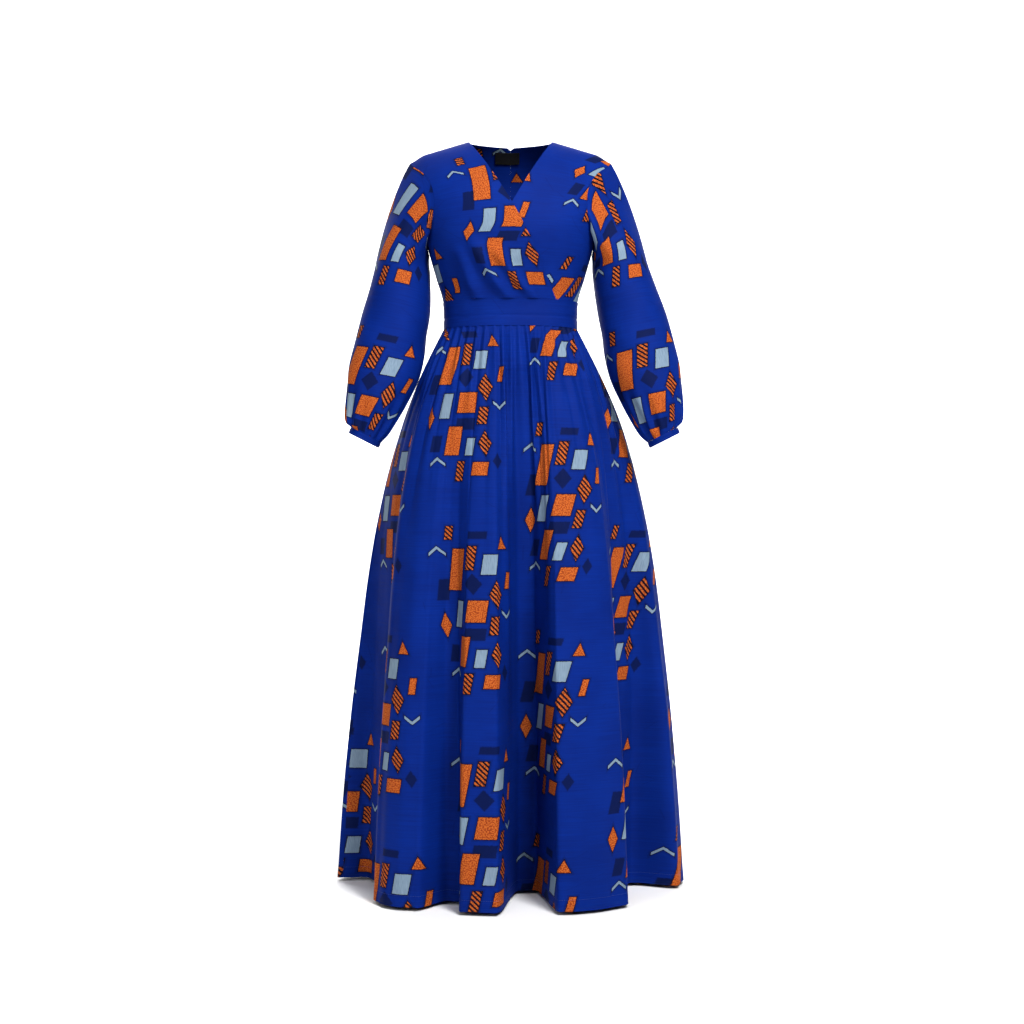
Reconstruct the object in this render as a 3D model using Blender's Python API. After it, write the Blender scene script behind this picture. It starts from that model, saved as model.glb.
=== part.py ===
"""Long wrap dress: crossed bodice, long full sleeves, waistband and a gathered floor-length skirt.

Metres, +Z up, the front faces -Y and the wearer's left is +X. The origin is the middle of the shoulder line.
Each sewn piece is one closed wall of cloth between an outer and an inner net of points.
"""
import math
from typing import NamedTuple

import bmesh
import bpy
import numpy as np

CLOTH = 0.0012
SKIRT_CLOTH = 0.0015
BAND_CLOTH = 0.0016
SEAM_GAP = 0.0003
LAP = 0.0018
STEP = 1e-4
SLEEVE_STEP = 0.03
SETTLING_ROUNDS = 30

# Heights of the bodice
RIDGE = 0.0482
YOKE = -0.060
UNDERARM = -0.200
WAIST = -0.295
BAND_HEIGHT = 0.052
BAND_CREASE = -0.327
SKIRT_LENGTH = 1.078

# Shoulder and neck
TIP_X = 0.198
TIP_DROP = 0.008
TIP_ROUND = 0.032
NECK_X = 0.083
NECK_Z = 0.0240
BACK_NECK_Z = 0.0235
NOTCH_DEPTH = 0.004
NOTCH_HALF = 0.006
WRAP_FOOT_X = 0.086
TOP_BOW = 0.012
UNDER_BOW = 0.006
ROUNDNESS = 2.3

# Rows and columns of the nets
BODY_ROWS = 4
ARMHOLE_ROWS = 6
ROLL_ROWS = 6
TOP_COLUMNS = 24
UNDER_COLUMNS = 14
BACK_NECK_COLUMNS = 4
BACK_SHOULDER_COLUMNS = 6
SLEEVE_GATHERS = 12
SKIRT_GATHERS = 48
COLUMNS_PER_GATHER = 4
GATHERED_RINGS = 5


class Bodice(NamedTuple):
    """One level ring of the bodice, front and back measured from its middle."""
    height: float
    half: float
    front: float
    back: float
    slope: float
    middle: float


BODICE = (
    Bodice(height=-0.347, half=0.1290, front=0.101, back=0.088, slope=0.00, middle=0.000),
    Bodice(height=-0.295, half=0.1305, front=0.098, back=0.085, slope=0.00, middle=0.000),
    Bodice(height=-0.245, half=0.1450, front=0.110, back=0.092, slope=0.00, middle=0.000),
    Bodice(height=-0.200, half=0.1580, front=0.124, back=0.101, slope=0.00, middle=0.000),
    Bodice(height=-0.150, half=0.1710, front=0.128, back=0.107, slope=0.03, middle=0.002),
    Bodice(height=-0.100, half=0.1820, front=0.118, back=0.109, slope=0.09, middle=0.006),
    Bodice(height=-0.060, half=0.1890, front=0.105, back=0.105, slope=0.15, middle=0.010),
    Bodice(height=0.000, half=0.1960, front=0.085, back=0.091, slope=0.23, middle=0.016),
    Bodice(height=0.050, half=0.2010, front=0.066, back=0.075, slope=0.293, middle=0.020),
)


class Armhole(NamedTuple):
    """How far the armhole seam is from the centre at one height."""
    height: float
    front_x: float
    back_x: float


ARMHOLE = (
    Armhole(height=-0.205, front_x=0.158, back_x=0.158),
    Armhole(height=-0.185, front_x=0.157, back_x=0.158),
    Armhole(height=-0.148, front_x=0.150, back_x=0.160),
    Armhole(height=-0.116, front_x=0.146, back_x=0.162),
    Armhole(height=-0.065, front_x=0.156, back_x=0.171),
    Armhole(height=-0.040, front_x=0.174, back_x=0.182),
    Armhole(height=-0.028, front_x=0.188, back_x=0.190),
    Armhole(height=-0.019, front_x=0.196, back_x=0.196),
    Armhole(height=-0.012, front_x=0.198, back_x=0.198),
    Armhole(height=0.010, front_x=0.198, back_x=0.198),
)


class Pleat(NamedTuple):
    """A soft ridge of the top layer, from its upper end down to the waist seam."""
    top_x: float
    top_z: float
    foot_x: float
    width: float
    rise: float


PLEATS = (
    Pleat(top_x=-0.100, top_z=-0.185, foot_x=-0.062, width=0.013, rise=0.0065),
    Pleat(top_x=-0.078, top_z=-0.175, foot_x=-0.006, width=0.014, rise=0.0085),
    Pleat(top_x=-0.040, top_z=-0.190, foot_x=0.042, width=0.012, rise=0.0060),
)


class Station(NamedTuple):
    """A ring of the sleeve: its inner and outer end seen from the front, its half depth and its middle."""
    inner_x: float
    inner_z: float
    outer_x: float
    outer_z: float
    depth: float
    middle: float
    gather: float


SLEEVE = (
    Station(inner_x=0.1565, inner_z=-0.235, outer_x=0.263, outer_z=-0.213, depth=0.075, middle=0.002, gather=0.0),
    Station(inner_x=0.1555, inner_z=-0.290, outer_x=0.274, outer_z=-0.265, depth=0.072, middle=-0.004, gather=0.0),
    Station(inner_x=0.1590, inner_z=-0.345, outer_x=0.289, outer_z=-0.318, depth=0.070, middle=-0.012, gather=0.0),
    Station(inner_x=0.1665, inner_z=-0.400, outer_x=0.301, outer_z=-0.370, depth=0.068, middle=-0.022, gather=0.0),
    Station(inner_x=0.1795, inner_z=-0.448, outer_x=0.311, outer_z=-0.422, depth=0.064, middle=-0.034, gather=0.0),
    Station(inner_x=0.2010, inner_z=-0.495, outer_x=0.314, outer_z=-0.470, depth=0.056, middle=-0.046, gather=0.0015),
    Station(inner_x=0.2245, inner_z=-0.535, outer_x=0.3145, outer_z=-0.510, depth=0.045, middle=-0.054, gather=0.0030),
    Station(inner_x=0.2370, inner_z=-0.555, outer_x=0.3120, outer_z=-0.529, depth=0.037, middle=-0.058, gather=0.0028),
    Station(inner_x=0.2480, inner_z=-0.567, outer_x=0.3045, outer_z=-0.5385, depth=0.031, middle=-0.060, gather=0.0010),
)
CUFF_HEIGHT = 0.012
SWING = {"left": 0.0145, "right": 0.0}
GATHERED_STATIONS = 4
CAP_STEPS = (0.0, 0.12, 0.34, 0.65)
CAP_LEAVE = math.radians(58)
CAP_UNDER = math.radians(86)
CAP_SQUARE = 0.85


class Skirt(NamedTuple):
    """Half width of the skirt and height of its gathers, by the drop below the waistband."""
    drop: float
    half: float
    gather: float


SKIRT = (
    Skirt(drop=0.000, half=0.1295, gather=0.0012),
    Skirt(drop=0.016, half=0.1370, gather=0.0032),
    Skirt(drop=0.055, half=0.1565, gather=0.0046),
    Skirt(drop=0.120, half=0.1865, gather=0.0046),
    Skirt(drop=0.190, half=0.2150, gather=0.0030),
    Skirt(drop=0.270, half=0.2400, gather=0.0),
    Skirt(drop=0.360, half=0.2610, gather=0.0),
    Skirt(drop=0.470, half=0.2790, gather=0.0),
    Skirt(drop=0.600, half=0.2945, gather=0.0),
    Skirt(drop=0.740, half=0.3100, gather=0.0),
    Skirt(drop=0.900, half=0.3230, gather=0.0),
    Skirt(drop=1.078, half=0.3330, gather=0.0),
)
HEM_FRONT = 0.292
HEM_BACK = 0.205
HEM_MIDDLE = 0.040
WAIST_FRONT = 0.101
WAIST_BACK = 0.088


class Fold(NamedTuple):
    """A large fold of the skirt: its turn from the centre front at the hem, its reach to each side in degrees,
    how far it is pushed out at the hem (in when negative), the way it is pushed and the drop where it begins."""
    turn: float
    before: float
    after: float
    push: float
    aim: float
    begins: float


FOLDS = (
    Fold(turn=-121, before=15, after=14, push=-0.034, aim=-117, begins=0.30),
    Fold(turn=-98, before=12, after=14, push=0.012, aim=-100, begins=0.35),
    Fold(turn=-66, before=30, after=17, push=-0.100, aim=-26, begins=0.10),
    Fold(turn=-40, before=9, after=9, push=0.012, aim=-40, begins=0.30),
    Fold(turn=-23, before=8, after=7.5, push=-0.078, aim=-18, begins=0.12),
    Fold(turn=8, before=12.5, after=7.5, push=-0.190, aim=3, begins=0.08),
    Fold(turn=24, before=10, after=14, push=0.006, aim=20, begins=0.30),
    Fold(turn=56, before=16, after=24, push=-0.118, aim=33, begins=0.10),
    Fold(turn=92, before=10, after=12, push=0.008, aim=93, begins=0.35),
    Fold(turn=117, before=14, after=14, push=-0.036, aim=116, begins=0.30),
    Fold(turn=145, before=13, after=12, push=-0.066, aim=147, begins=0.16),
    Fold(turn=172, before=13, after=13, push=-0.072, aim=173, begins=0.14),
    Fold(turn=-170, before=9, after=9, push=0.008, aim=-170, begins=0.40),
    Fold(turn=-150, before=14, after=14, push=-0.070, aim=-152, begins=0.15),
)

# Label behind the neck
LABEL_LEFT = -0.031
LABEL_RIGHT = 0.018
LABEL_HEIGHT = 0.020
LABEL_BELOW_NECK = 0.007
LABEL_CLOTH = 0.0008
LABEL_CLEAR = 0.0013
LABEL_COLUMNS = 6


def smooth(amount):
    """Ease from 0 to 1."""
    amount = np.clip(amount, 0.0, 1.0)
    return amount * amount * (3.0 - 2.0 * amount)


def read(table, key, column, at):
    """Smooth curve through a table's rows: the column's value where the key column is at."""
    keys = np.array([getattr(row, key) for row in table])
    values = np.array([getattr(row, column) for row in table])
    if keys[0] > keys[-1]:
        keys = keys[::-1]
        values = values[::-1]
    slopes = np.gradient(values, keys)
    at = np.clip(np.asarray(at, dtype=float), keys[0], keys[-1])
    row = np.clip(np.searchsorted(keys, at, side="right") - 1, 0, len(keys) - 2)
    width = keys[row + 1] - keys[row]
    t = (at - keys[row]) / width
    start = values[row] * (1 + 2 * t) * (1 - t) ** 2 + slopes[row] * width * t * (1 - t) ** 2
    end = values[row + 1] * t * t * (3 - 2 * t) + slopes[row + 1] * width * t * t * (t - 1)
    return start + end


def unit(vectors):
    length = np.linalg.norm(vectors, axis=-1, keepdims=True)
    return vectors / np.maximum(length, 1e-12)


def spread(value, power):
    """A signed power, which squares up a sine or a cosine."""
    return np.sign(value) * np.abs(value) ** power


def points(x, y, z):
    x, y, z = np.broadcast_arrays(x, y, z)
    return np.stack((x, y, z), axis=-1).astype(float)


def ring_height(level):
    """Height at the centre of a bodice ring: level 0 is the waist, 1 the underarm, 2 the yoke, 3 the shoulder."""
    level = np.asarray(level, dtype=float)
    body = WAIST + (UNDERARM - WAIST) * np.clip(level, 0, 1)
    chest = (YOKE - UNDERARM) * np.clip(level - 1, 0, 1) ** 1.3
    roll = (RIDGE - YOKE) * np.sin(np.clip(level - 2, 0, 1) * math.pi / 2)
    return body + chest + roll


def torso(level, turn):
    """Outer surface of the bodice. turn is the angle from the centre front, positive to the wearer's left."""
    height = ring_height(level)
    rolled = np.cos(np.clip(np.asarray(level) - 2, 0, 1) * math.pi / 2)
    half = read(BODICE, "height", "half", height)
    front = read(BODICE, "height", "front", height) * rolled
    back = read(BODICE, "height", "back", height) * rolled
    across = spread(np.sin(turn), 2 / ROUNDNESS)
    along = spread(np.cos(turn), 2 / ROUNDNESS)
    x = half * across
    y = read(BODICE, "height", "middle", height) - np.where(along > 0, front, back) * along
    tip = TIP_DROP * smooth((np.abs(x) - TIP_X + TIP_ROUND) / TIP_ROUND) * (1 - rolled ** 2)
    z = height - read(BODICE, "height", "slope", height) * np.abs(x) - tip
    return points(x, y, z)


def turn_at(level, x):
    """The turn at which a bodice ring is x from the centre, on its front."""
    half = read(BODICE, "height", "half", ring_height(level))
    share = np.clip(np.abs(x) / half, 0, 1) ** (ROUNDNESS / 2)
    return np.sign(x) * np.arcsin(share)


def armhole_turn(level, column):
    """Turn of the armhole seam, or of the side seam below the underarm."""
    level = np.asarray(level, dtype=float)
    x = np.full(level.shape, TIP_X)
    for _ in range(SETTLING_ROUNDS):
        height = torso(level, turn_at(level, x))[..., 2]
        x = (x + np.minimum(read(ARMHOLE, "height", column, height), TIP_X)) / 2
    turn = turn_at(level, x)
    opened = smooth((level - 1) / 0.45)
    side = math.pi / 2
    return np.where(level <= 1, side, side + (turn - side) * np.maximum(opened, 0.0))


def wrap_edge_x(height, bow):
    """How far a front reaches past the centre line (negative while it is still on its own side)."""
    share = np.clip((NECK_Z - height) / (NECK_Z - WAIST), 0, 1)
    return -NECK_X + (NECK_X + WRAP_FOOT_X) * share + bow * np.sin(math.pi * share)


def wrap_turn(level, bow):
    """Turn of a front's wrap edge, counted positive past the centre line."""
    x = np.full(np.shape(level), -NECK_X)
    for _ in range(SETTLING_ROUNDS):
        x = wrap_edge_x(torso(level, turn_at(level, x))[..., 2], bow)
    return turn_at(level, x)


def pleat_rise(place):
    """Height of the top layer's soft pleats at a place on it."""
    rise = np.zeros(place.shape[:-1])
    for pleat in PLEATS:
        share = np.clip((pleat.top_z - place[..., 2]) / (pleat.top_z - WAIST), 0, 1)
        crest = pleat.top_x + (pleat.foot_x - pleat.top_x) * share ** 1.15
        width = pleat.width * (1.5 - 0.6 * share)
        bump = np.exp(-(((place[..., 0] - crest) / width) ** 2))
        along = smooth(share / 0.35) * (1 - 0.65 * smooth((share - 0.8) / 0.2))
        rise = rise + pleat.rise * bump * along
    return rise


def normals(surface, u, v):
    """Outward normals of a surface of two parameters, by small steps each way."""
    across = surface(u + STEP, v) - surface(u - STEP, v)
    along = surface(u, v + STEP) - surface(u, v - STEP)
    return unit(np.cross(across, along))


def front_panel(side, over):
    """Surface of a front: u runs from its own side (0) to its wrap edge (1), v is the level."""
    def surface(u, v):
        v = np.clip(v, 0, 3)
        outer = -armhole_turn(v, "front_x")
        inner = wrap_turn(v, TOP_BOW if over else UNDER_BOW)
        turn = outer + (inner - outer) * u
        place = torso(v, turn)
        if over:
            normal = unit(np.cross(torso(v, turn + STEP) - torso(v, turn - STEP),
                                   torso(np.minimum(v + STEP, 3), turn) - torso(v - STEP, turn)))
            edge = -wrap_edge_x(place[..., 2], UNDER_BOW)
            lap = LAP * smooth((place[..., 0] - edge + 0.035) / 0.030)
            place = place + normal * (lap + pleat_rise(place))[..., None]
        return place * np.array((-side, 1, 1))
    return surface


def back_neck_height(x):
    """Height of the back neckline, with the small notch at the centre."""
    notch = NOTCH_DEPTH * np.clip(1 - np.abs(x) / NOTCH_HALF, 0, 1)
    return BACK_NECK_Z + (NECK_Z - BACK_NECK_Z) * smooth(np.abs(x) / NECK_X) - notch


def back_columns():
    """Column shares of a back, with one column exactly at the neck point."""
    neck = float(turn_at(3.0, NECK_X) / back_edge(3.0))
    return np.concatenate((np.linspace(0, neck, BACK_NECK_COLUMNS + 1),
                           np.linspace(neck, 1, BACK_SHOULDER_COLUMNS + 1)[1:]))


def back_edge(level):
    return armhole_turn(level, "back_x")


def back_top_level(u):
    """Level at which each column of a back ends: the neckline, or the shoulder seam past the neck point."""
    low = np.full(np.shape(u), 2.0)
    high = np.full(np.shape(u), 3.0)
    for _ in range(SETTLING_ROUNDS):
        middle = (low + high) / 2
        place = torso(middle, u * back_edge(middle))
        below = (place[..., 2] < back_neck_height(place[..., 0])) | (place[..., 0] > NECK_X)
        low = np.where(below, middle, low)
        high = np.where(below, high, middle)
    return np.where(high > 2.999, 3.0, high)


def back_panel(side):
    """Surface of a back: u runs from the centre back (0) to its side (1), v is the level at its side."""
    def surface(u, v):
        u = np.clip(u, 0, 1)
        v = np.clip(v, 0, 3)
        top = back_top_level(u)
        level = np.where(v <= 2, v, 2 + (v - 2) * (top - 2))
        place = torso(level, math.pi - u * back_edge(level))
        return place * np.array((side, 1, 1))
    return surface


def body_levels():
    body = np.linspace(0, 1, BODY_ROWS + 1)
    chest = np.linspace(1, 2, ARMHOLE_ROWS + 1)[1:]
    roll = np.linspace(2, 3, ROLL_ROWS + 1)[1:]
    return np.concatenate((body, chest, roll))


def grid(surface, columns, rows, thickness, facing):
    """Outer and inner net of a surface. facing is +1 where the parameters already turn outward."""
    u, v = np.meshgrid(columns, rows)
    outer = surface(u, v)
    low = np.clip(v, rows[0] + STEP, rows[-1] - STEP)
    wide = np.clip(u, columns[0] + STEP, columns[-1] - STEP)
    inner = outer - facing * thickness * normals(surface, wide, low)
    return outer, inner


def strip(first, second):
    """Triangles between two rows of point numbers, also where one row has twice the steps of the other."""
    if len(first) < len(second):
        return [face[::-1] for face in strip(second, first)]
    faces = []
    if len(first) == len(second):
        for left, right in zip(range(len(first) - 1), range(1, len(first))):
            faces.append((first[left], first[right], second[right]))
            faces.append((first[left], second[right], second[left]))
        return faces
    for step in range(len(second) - 1):
        near, middle, far = first[2 * step:2 * step + 3]
        faces.append((near, middle, second[step]))
        faces.append((middle, second[step + 1], second[step]))
        faces.append((middle, far, second[step + 1]))
    return faces


def cloth(name, outer, inner, material, tube=False):
    """One closed wall of cloth as a named object, from rows of outer and inner points."""
    rows = [len(row) for row in outer]
    starts = np.concatenate(([0], np.cumsum(rows)))
    count = int(starts[-1])
    verts = [tuple(point) for row in outer for point in row] + [tuple(point) for row in inner for point in row]
    numbers = [list(range(starts[row], starts[row + 1])) for row in range(len(rows))]
    if tube:
        numbers = [row + [row[0]] for row in numbers]
    faces = []
    for low, high in zip(numbers, numbers[1:]):
        for face in strip(low, high):
            faces.append(face)
            faces.append(tuple(number + count for number in face[::-1]))
    rims = [numbers[0][::-1], numbers[-1]]
    if not tube:
        rims.append([row[0] for row in numbers])
        rims.append([row[-1] for row in numbers][::-1])
    for rim in rims:
        for near, far in zip(rim, rim[1:]):
            faces.append((near, far, far + count))
            faces.append((near, far + count, near + count))
    mesh = bpy.data.meshes.new(name)
    built = bmesh.new()
    made = [built.verts.new(place) for place in verts]
    for face in faces:
        built.faces.new([made[number] for number in face])
    bmesh.ops.recalc_face_normals(built, faces=built.faces)
    built.to_mesh(mesh)
    built.free()
    mesh.materials.append(material)
    mesh.shade_smooth()
    mesh.set_sharp_from_angle(angle=math.radians(50))
    piece = bpy.data.objects.new(name, mesh)
    bpy.context.scene.collection.objects.link(piece)
    return piece


def finish(name, color, roughness):
    """A cloth's Principled material."""
    material = bpy.data.materials.new(name)
    material.use_nodes = True
    shader = material.node_tree.nodes["Principled BSDF"]
    shader.inputs["Base Color"].default_value = (*color, 1)
    shader.inputs["Roughness"].default_value = roughness
    shader.inputs["Metallic"].default_value = 0
    return material


def nudge(nets, row, column, shift):
    """Moves one edge of both nets, to leave half a seam's gap."""
    for net in nets:
        net[row, column] += np.array(shift)


def build_fronts(material):
    half_gap = SEAM_GAP / 2
    levels = body_levels()
    for name, side, over, count in (("bodice_front_right", -1, True, TOP_COLUMNS),
                                    ("bodice_front_left", 1, False, UNDER_COLUMNS)):
        surface = front_panel(side, over)
        outer, inner = grid(surface, np.linspace(0, 1, count + 1), levels, CLOTH, -side)
        every = slice(None)
        nudge((outer, inner), len(levels) - 1, every, (0, -half_gap, 0))
        nudge((outer, inner), slice(0, BODY_ROWS + 1), 0, (0, -half_gap, 0))
        outer[0, :, 2] = WAIST + half_gap
        inner[0, :, 2] = WAIST + half_gap
        cloth(name, outer, inner, material)


def build_backs(material):
    half_gap = SEAM_GAP / 2
    levels = body_levels()
    for name, side in (("bodice_back_left", 1), ("bodice_back_right", -1)):
        outer, inner = grid(back_panel(side), back_columns(), levels, CLOTH, -side)
        seam = slice(BACK_NECK_COLUMNS, None)
        nudge((outer, inner), len(levels) - 1, seam, (0, half_gap, 0))
        nudge((outer, inner), slice(0, BODY_ROWS + 1), -1, (0, half_gap, 0))
        for net in (outer, inner):
            net[:, 0, 0] = side * half_gap
            net[0, :, 2] = WAIST + half_gap
        cloth(name, outer, inner, material)


def seam_share(way):
    """Level of the armhole seam for a place round the sleeve: way 0 is the shoulder, 1 the underarm, 2 the shoulder."""
    from_top = 1 - np.abs(1 - np.mod(way, 2))
    return 3 - 2 * from_top


def armhole_point(way):
    way = np.mod(way, 2)
    level = seam_share(way)
    front = torso(level, armhole_turn(level, "front_x"))
    back = torso(level, math.pi - armhole_turn(level, "back_x"))
    return np.where((way < 1)[..., None], front, back)


def armhole_along(way):
    """Direction of the armhole seam, read over a short piece of it."""
    return unit(armhole_point(way + SLEEVE_STEP) - armhole_point(way - SLEEVE_STEP))


def ring_angles():
    """Angle round the sleeve against the way along the armhole seam, so that both are shared out alike."""
    way = np.linspace(0, 2, 801)
    place = armhole_point(way)
    walked = np.concatenate(([0], np.cumsum(np.linalg.norm(np.diff(place, axis=0), axis=1))))
    half = walked[400]
    return way, np.where(way <= 1, walked / half, 1 + (walked - half) / (walked[-1] - half)) * math.pi


ANGLE_WAYS, ANGLES = ring_angles()


class Numbered(NamedTuple):
    number: float
    value: float


def read_station(field, row):
    table = tuple(Numbered(number, getattr(station, field)) for number, station in enumerate(SLEEVE))
    return read(table, "number", "value", row)


def station_point(station, way):
    """Point of the sleeve below its cap. station counts the rows of the sleeve table."""
    value = {field: read_station(field, station) for field in Station._fields}
    angle = np.interp(np.mod(way, 2), ANGLE_WAYS, ANGLES)
    inner = points(value["inner_x"], value["middle"], value["inner_z"])
    outer = points(value["outer_x"], value["middle"], value["outer_z"])
    middle = (inner + outer) / 2
    across = (outer - inner) / 2
    forward = points(0.0, -1.0, 0.0) * np.asarray(value["depth"])[..., None]
    ring = middle + across * np.cos(angle)[..., None] + forward * np.sin(angle)[..., None]
    wave = value["gather"] * np.cos(angle * SLEEVE_GATHERS) * (1 + 0.3 * np.sin(3 * angle + 1))
    away = unit(ring - middle)
    return ring + away * np.asarray(wave)[..., None]


def cap_leave(way):
    """Unit direction in which the sleeve leaves the armhole seam."""
    angle = np.interp(np.mod(way, 2), ANGLE_WAYS, ANGLES)
    down = CAP_LEAVE + (CAP_UNDER - CAP_LEAVE) * (1 - np.cos(angle)) / 2
    leave = points(np.cos(down), 0.0, -np.sin(down))
    along = armhole_along(way)
    square = CAP_SQUARE * smooth(1 - np.cos(angle))[..., None]
    leave = leave - square * along * np.sum(leave * along, axis=-1, keepdims=True)
    return unit(leave)


def sleeve_surface(way, length):
    """Outer surface of a sleeve on the +X side. length 0 to 1 is the cap, then one more for each station."""
    way, length = np.broadcast_arrays(np.asarray(way, float), np.asarray(length, float))
    start = armhole_point(way)
    leave = cap_leave(way)
    end = station_point(np.zeros(way.shape), way)
    arrive = unit(station_point(np.full(way.shape, 0.5), way) - end)
    chord = np.linalg.norm(end - start, axis=-1, keepdims=True)
    t = np.clip(length, 0, 1)[..., None]
    cap = (start * (1 + 2 * t) * (1 - t) ** 2 + leave * chord * 0.75 * t * (1 - t) ** 2
           + end * t * t * (3 - 2 * t) + arrive * chord * 0.9 * t * t * (t - 1))
    below = station_point(np.clip(length - 1, 0, len(SLEEVE) - 1), way)
    return np.where((length < 1)[..., None], cap, below)


def sleeve_outward(way, length):
    """Outward direction of a sleeve, read over a short piece of its surface."""
    length = np.clip(length, SLEEVE_STEP, len(SLEEVE) - SLEEVE_STEP)
    across = sleeve_surface(way + SLEEVE_STEP, length) - sleeve_surface(way - SLEEVE_STEP, length)
    along = sleeve_surface(way, length + SLEEVE_STEP) - sleeve_surface(way, length - SLEEVE_STEP)
    return unit(np.cross(across, along))


def seam_frame(way):
    """At the armhole seam: the bodice's outward direction, and its own surface carried on past the edge."""
    level = seam_share(np.mod(way, 2))
    front = np.mod(way, 2) < 1
    turn = np.where(front, armhole_turn(level, "front_x"), math.pi - armhole_turn(level, "back_x"))
    across = torso(level, turn + STEP) - torso(level, turn - STEP)
    raised = torso(np.minimum(level + STEP, 3), turn) - torso(level - STEP, turn)
    outward = unit(np.cross(across, raised))
    along = armhole_along(way)
    onward = unit(np.cross(along, outward))
    away = points(1.0, 0.0, 0.3) * np.ones(onward.shape)
    return outward, onward * np.sign(np.sum(onward * away, axis=-1, keepdims=True))


def seam_start(ways, place, facing):
    """First ring of a sleeve, a seam's gap off the bodice, and the way its wall faces there."""
    outward, onward = seam_frame(ways)
    leave = cap_leave(ways)
    start = place + SEAM_GAP * 1.4 * unit(onward + leave + 0.6 * outward)
    turned = smooth((np.sum(leave * outward, axis=-1, keepdims=True) + 0.05) / 0.45)
    return start, unit(facing * turned + outward * (1 - turned))


def build_sleeves(material):
    coarse = np.linspace(0, 2, 2 * (ARMHOLE_ROWS + ROLL_ROWS) + 1)[:-1]
    fine = np.linspace(0, 2, 4 * (ARMHOLE_ROWS + ROLL_ROWS) + 1)[:-1]
    stations = len(SLEEVE)
    lengths = list(CAP_STEPS) + [1.0 + number for number in range(stations)]
    for name, side in (("left", 1), ("right", -1)):
        outer = []
        inner = []
        for length in lengths:
            gathered = length >= 1 + stations - GATHERED_STATIONS
            ways = fine if gathered else coarse
            lengths_here = np.full(ways.shape, length)
            place = sleeve_surface(ways, lengths_here)
            facing = sleeve_outward(ways, lengths_here)
            if length == 0:
                place, facing = seam_start(ways, place, facing)
            place = place + np.array((SWING[name] * smooth(length / 3), 0, 0))
            outer.append(place * np.array((side, 1, 1)))
            inner.append((place - CLOTH * facing) * np.array((side, 1, 1)))
        cloth(f"sleeve_{name}", outer, inner, material, tube=True)


def build_cuffs(material):
    last = SLEEVE[-1]
    middle = np.array(((last.inner_x + last.outer_x) / 2, last.middle, (last.inner_z + last.outer_z) / 2))
    tilt = math.atan2(last.outer_z - last.inner_z, last.outer_x - last.inner_x)
    down = np.array((math.sin(tilt), 0, -math.cos(tilt)))
    across = np.array((math.cos(tilt), 0, math.sin(tilt)))
    half = math.hypot(last.outer_x - last.inner_x, last.outer_z - last.inner_z) / 2
    angle = np.linspace(0, 2 * math.pi, 33)[:-1]
    for name, side in (("left", 1), ("right", -1)):
        outer = []
        inner = []
        for share, swell in ((0.0, 0.0002), (0.5, 0.0009), (1.0, 0.0)):
            centre = middle + down * (SEAM_GAP * 2 + share * CUFF_HEIGHT) + np.array((SWING[name], 0, 0))
            for rows, size in ((outer, swell), (inner, swell - BAND_CLOTH)):
                ring = (centre + across * (half + size) * np.cos(angle)[:, None]
                        - np.array((0, 1, 0)) * (last.depth + size) * np.sin(angle)[:, None])
                rows.append(ring * np.array((side, 1, 1)))
        cloth(f"cuff_{name}", outer, inner, material, tube=True)


def band_surface(turn, height):
    """Outer surface of the waistband, a little proud of the bodice, with its pressed crease."""
    half = read(BODICE, "height", "half", height)
    front = read(BODICE, "height", "front", height)
    back = read(BODICE, "height", "back", height)
    across = spread(np.sin(turn), 2 / ROUNDNESS)
    along = spread(np.cos(turn), 2 / ROUNDNESS)
    proud = 0.0012 - 0.0011 * np.exp(-(((height - BAND_CREASE) / 0.0022) ** 2))
    return points((half + proud) * across, -(np.where(along > 0, front, back) + proud) * along, height)


def build_waistband(material):
    half_gap = SEAM_GAP / 2
    split = float(turn_at(0.0, -0.080))
    side = math.pi / 2
    top = WAIST - half_gap
    bottom = WAIST - BAND_HEIGHT + half_gap
    heights = np.array((bottom, BAND_CREASE - 0.004, BAND_CREASE, BAND_CREASE + 0.004, top))
    slit = half_gap / WAIST_FRONT
    for name, start, end, columns in (("waistband_front", split, side, 28),
                                      ("waistband_back_left", side, math.pi, 16),
                                      ("waistband_back_right", -math.pi, split, 24)):
        turns = np.linspace(start + slit, end - slit, columns + 1)
        outer, inner = grid(band_surface, turns, heights, BAND_CLOTH, 1)
        for net in (outer, inner):
            net[0, :, 2] = bottom
            net[-1, :, 2] = top
        cloth(name, outer, inner, material)


def hem_place(turn):
    """Hem of the skirt as an oval, before its folds."""
    depth = np.where(np.cos(turn) > 0, HEM_FRONT, HEM_BACK)
    return points(SKIRT[-1].half * np.sin(turn), HEM_MIDDLE - depth * np.cos(turn), 0.0)


def fold_push(turn, drop):
    """How far the large folds push the skirt at a turn and a drop, as a level vector."""
    degrees = np.degrees(turn)
    pushed = np.zeros(np.broadcast(turn, drop).shape + (3,))
    for fold in FOLDS:
        off = np.mod(degrees - fold.turn + 180, 360) - 180
        share = np.abs(off) / np.where(off < 0, fold.before, fold.after)
        shape = smooth((1 - share) * 1.35)
        grown = np.clip((drop - fold.begins) / (SKIRT_LENGTH - fold.begins), 0, 1) ** 0.85
        aim = math.radians(fold.aim)
        amount = fold.push * shape * grown
        pushed = pushed + points(amount * math.sin(aim), -amount * math.cos(aim), 0.0)
    return pushed


def waist_place(turn):
    """Top of the skirt, an oval a little squared like the bodice."""
    across = spread(np.sin(turn), 2 / ROUNDNESS)
    along = spread(np.cos(turn), 2 / ROUNDNESS)
    depth = np.where(np.cos(turn) > 0, WAIST_FRONT, WAIST_BACK)
    return points(SKIRT[0].half * across, -depth * along, 0.0)


def evenly(section, turns, first, last):
    """Gather number at each turn of a panel, shared out by the length walked along its section."""
    place = section(turns)
    walked = np.concatenate(([0], np.cumsum(np.linalg.norm(np.diff(place, axis=0), axis=1))))
    return first + (last - first) * walked / walked[-1]


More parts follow.
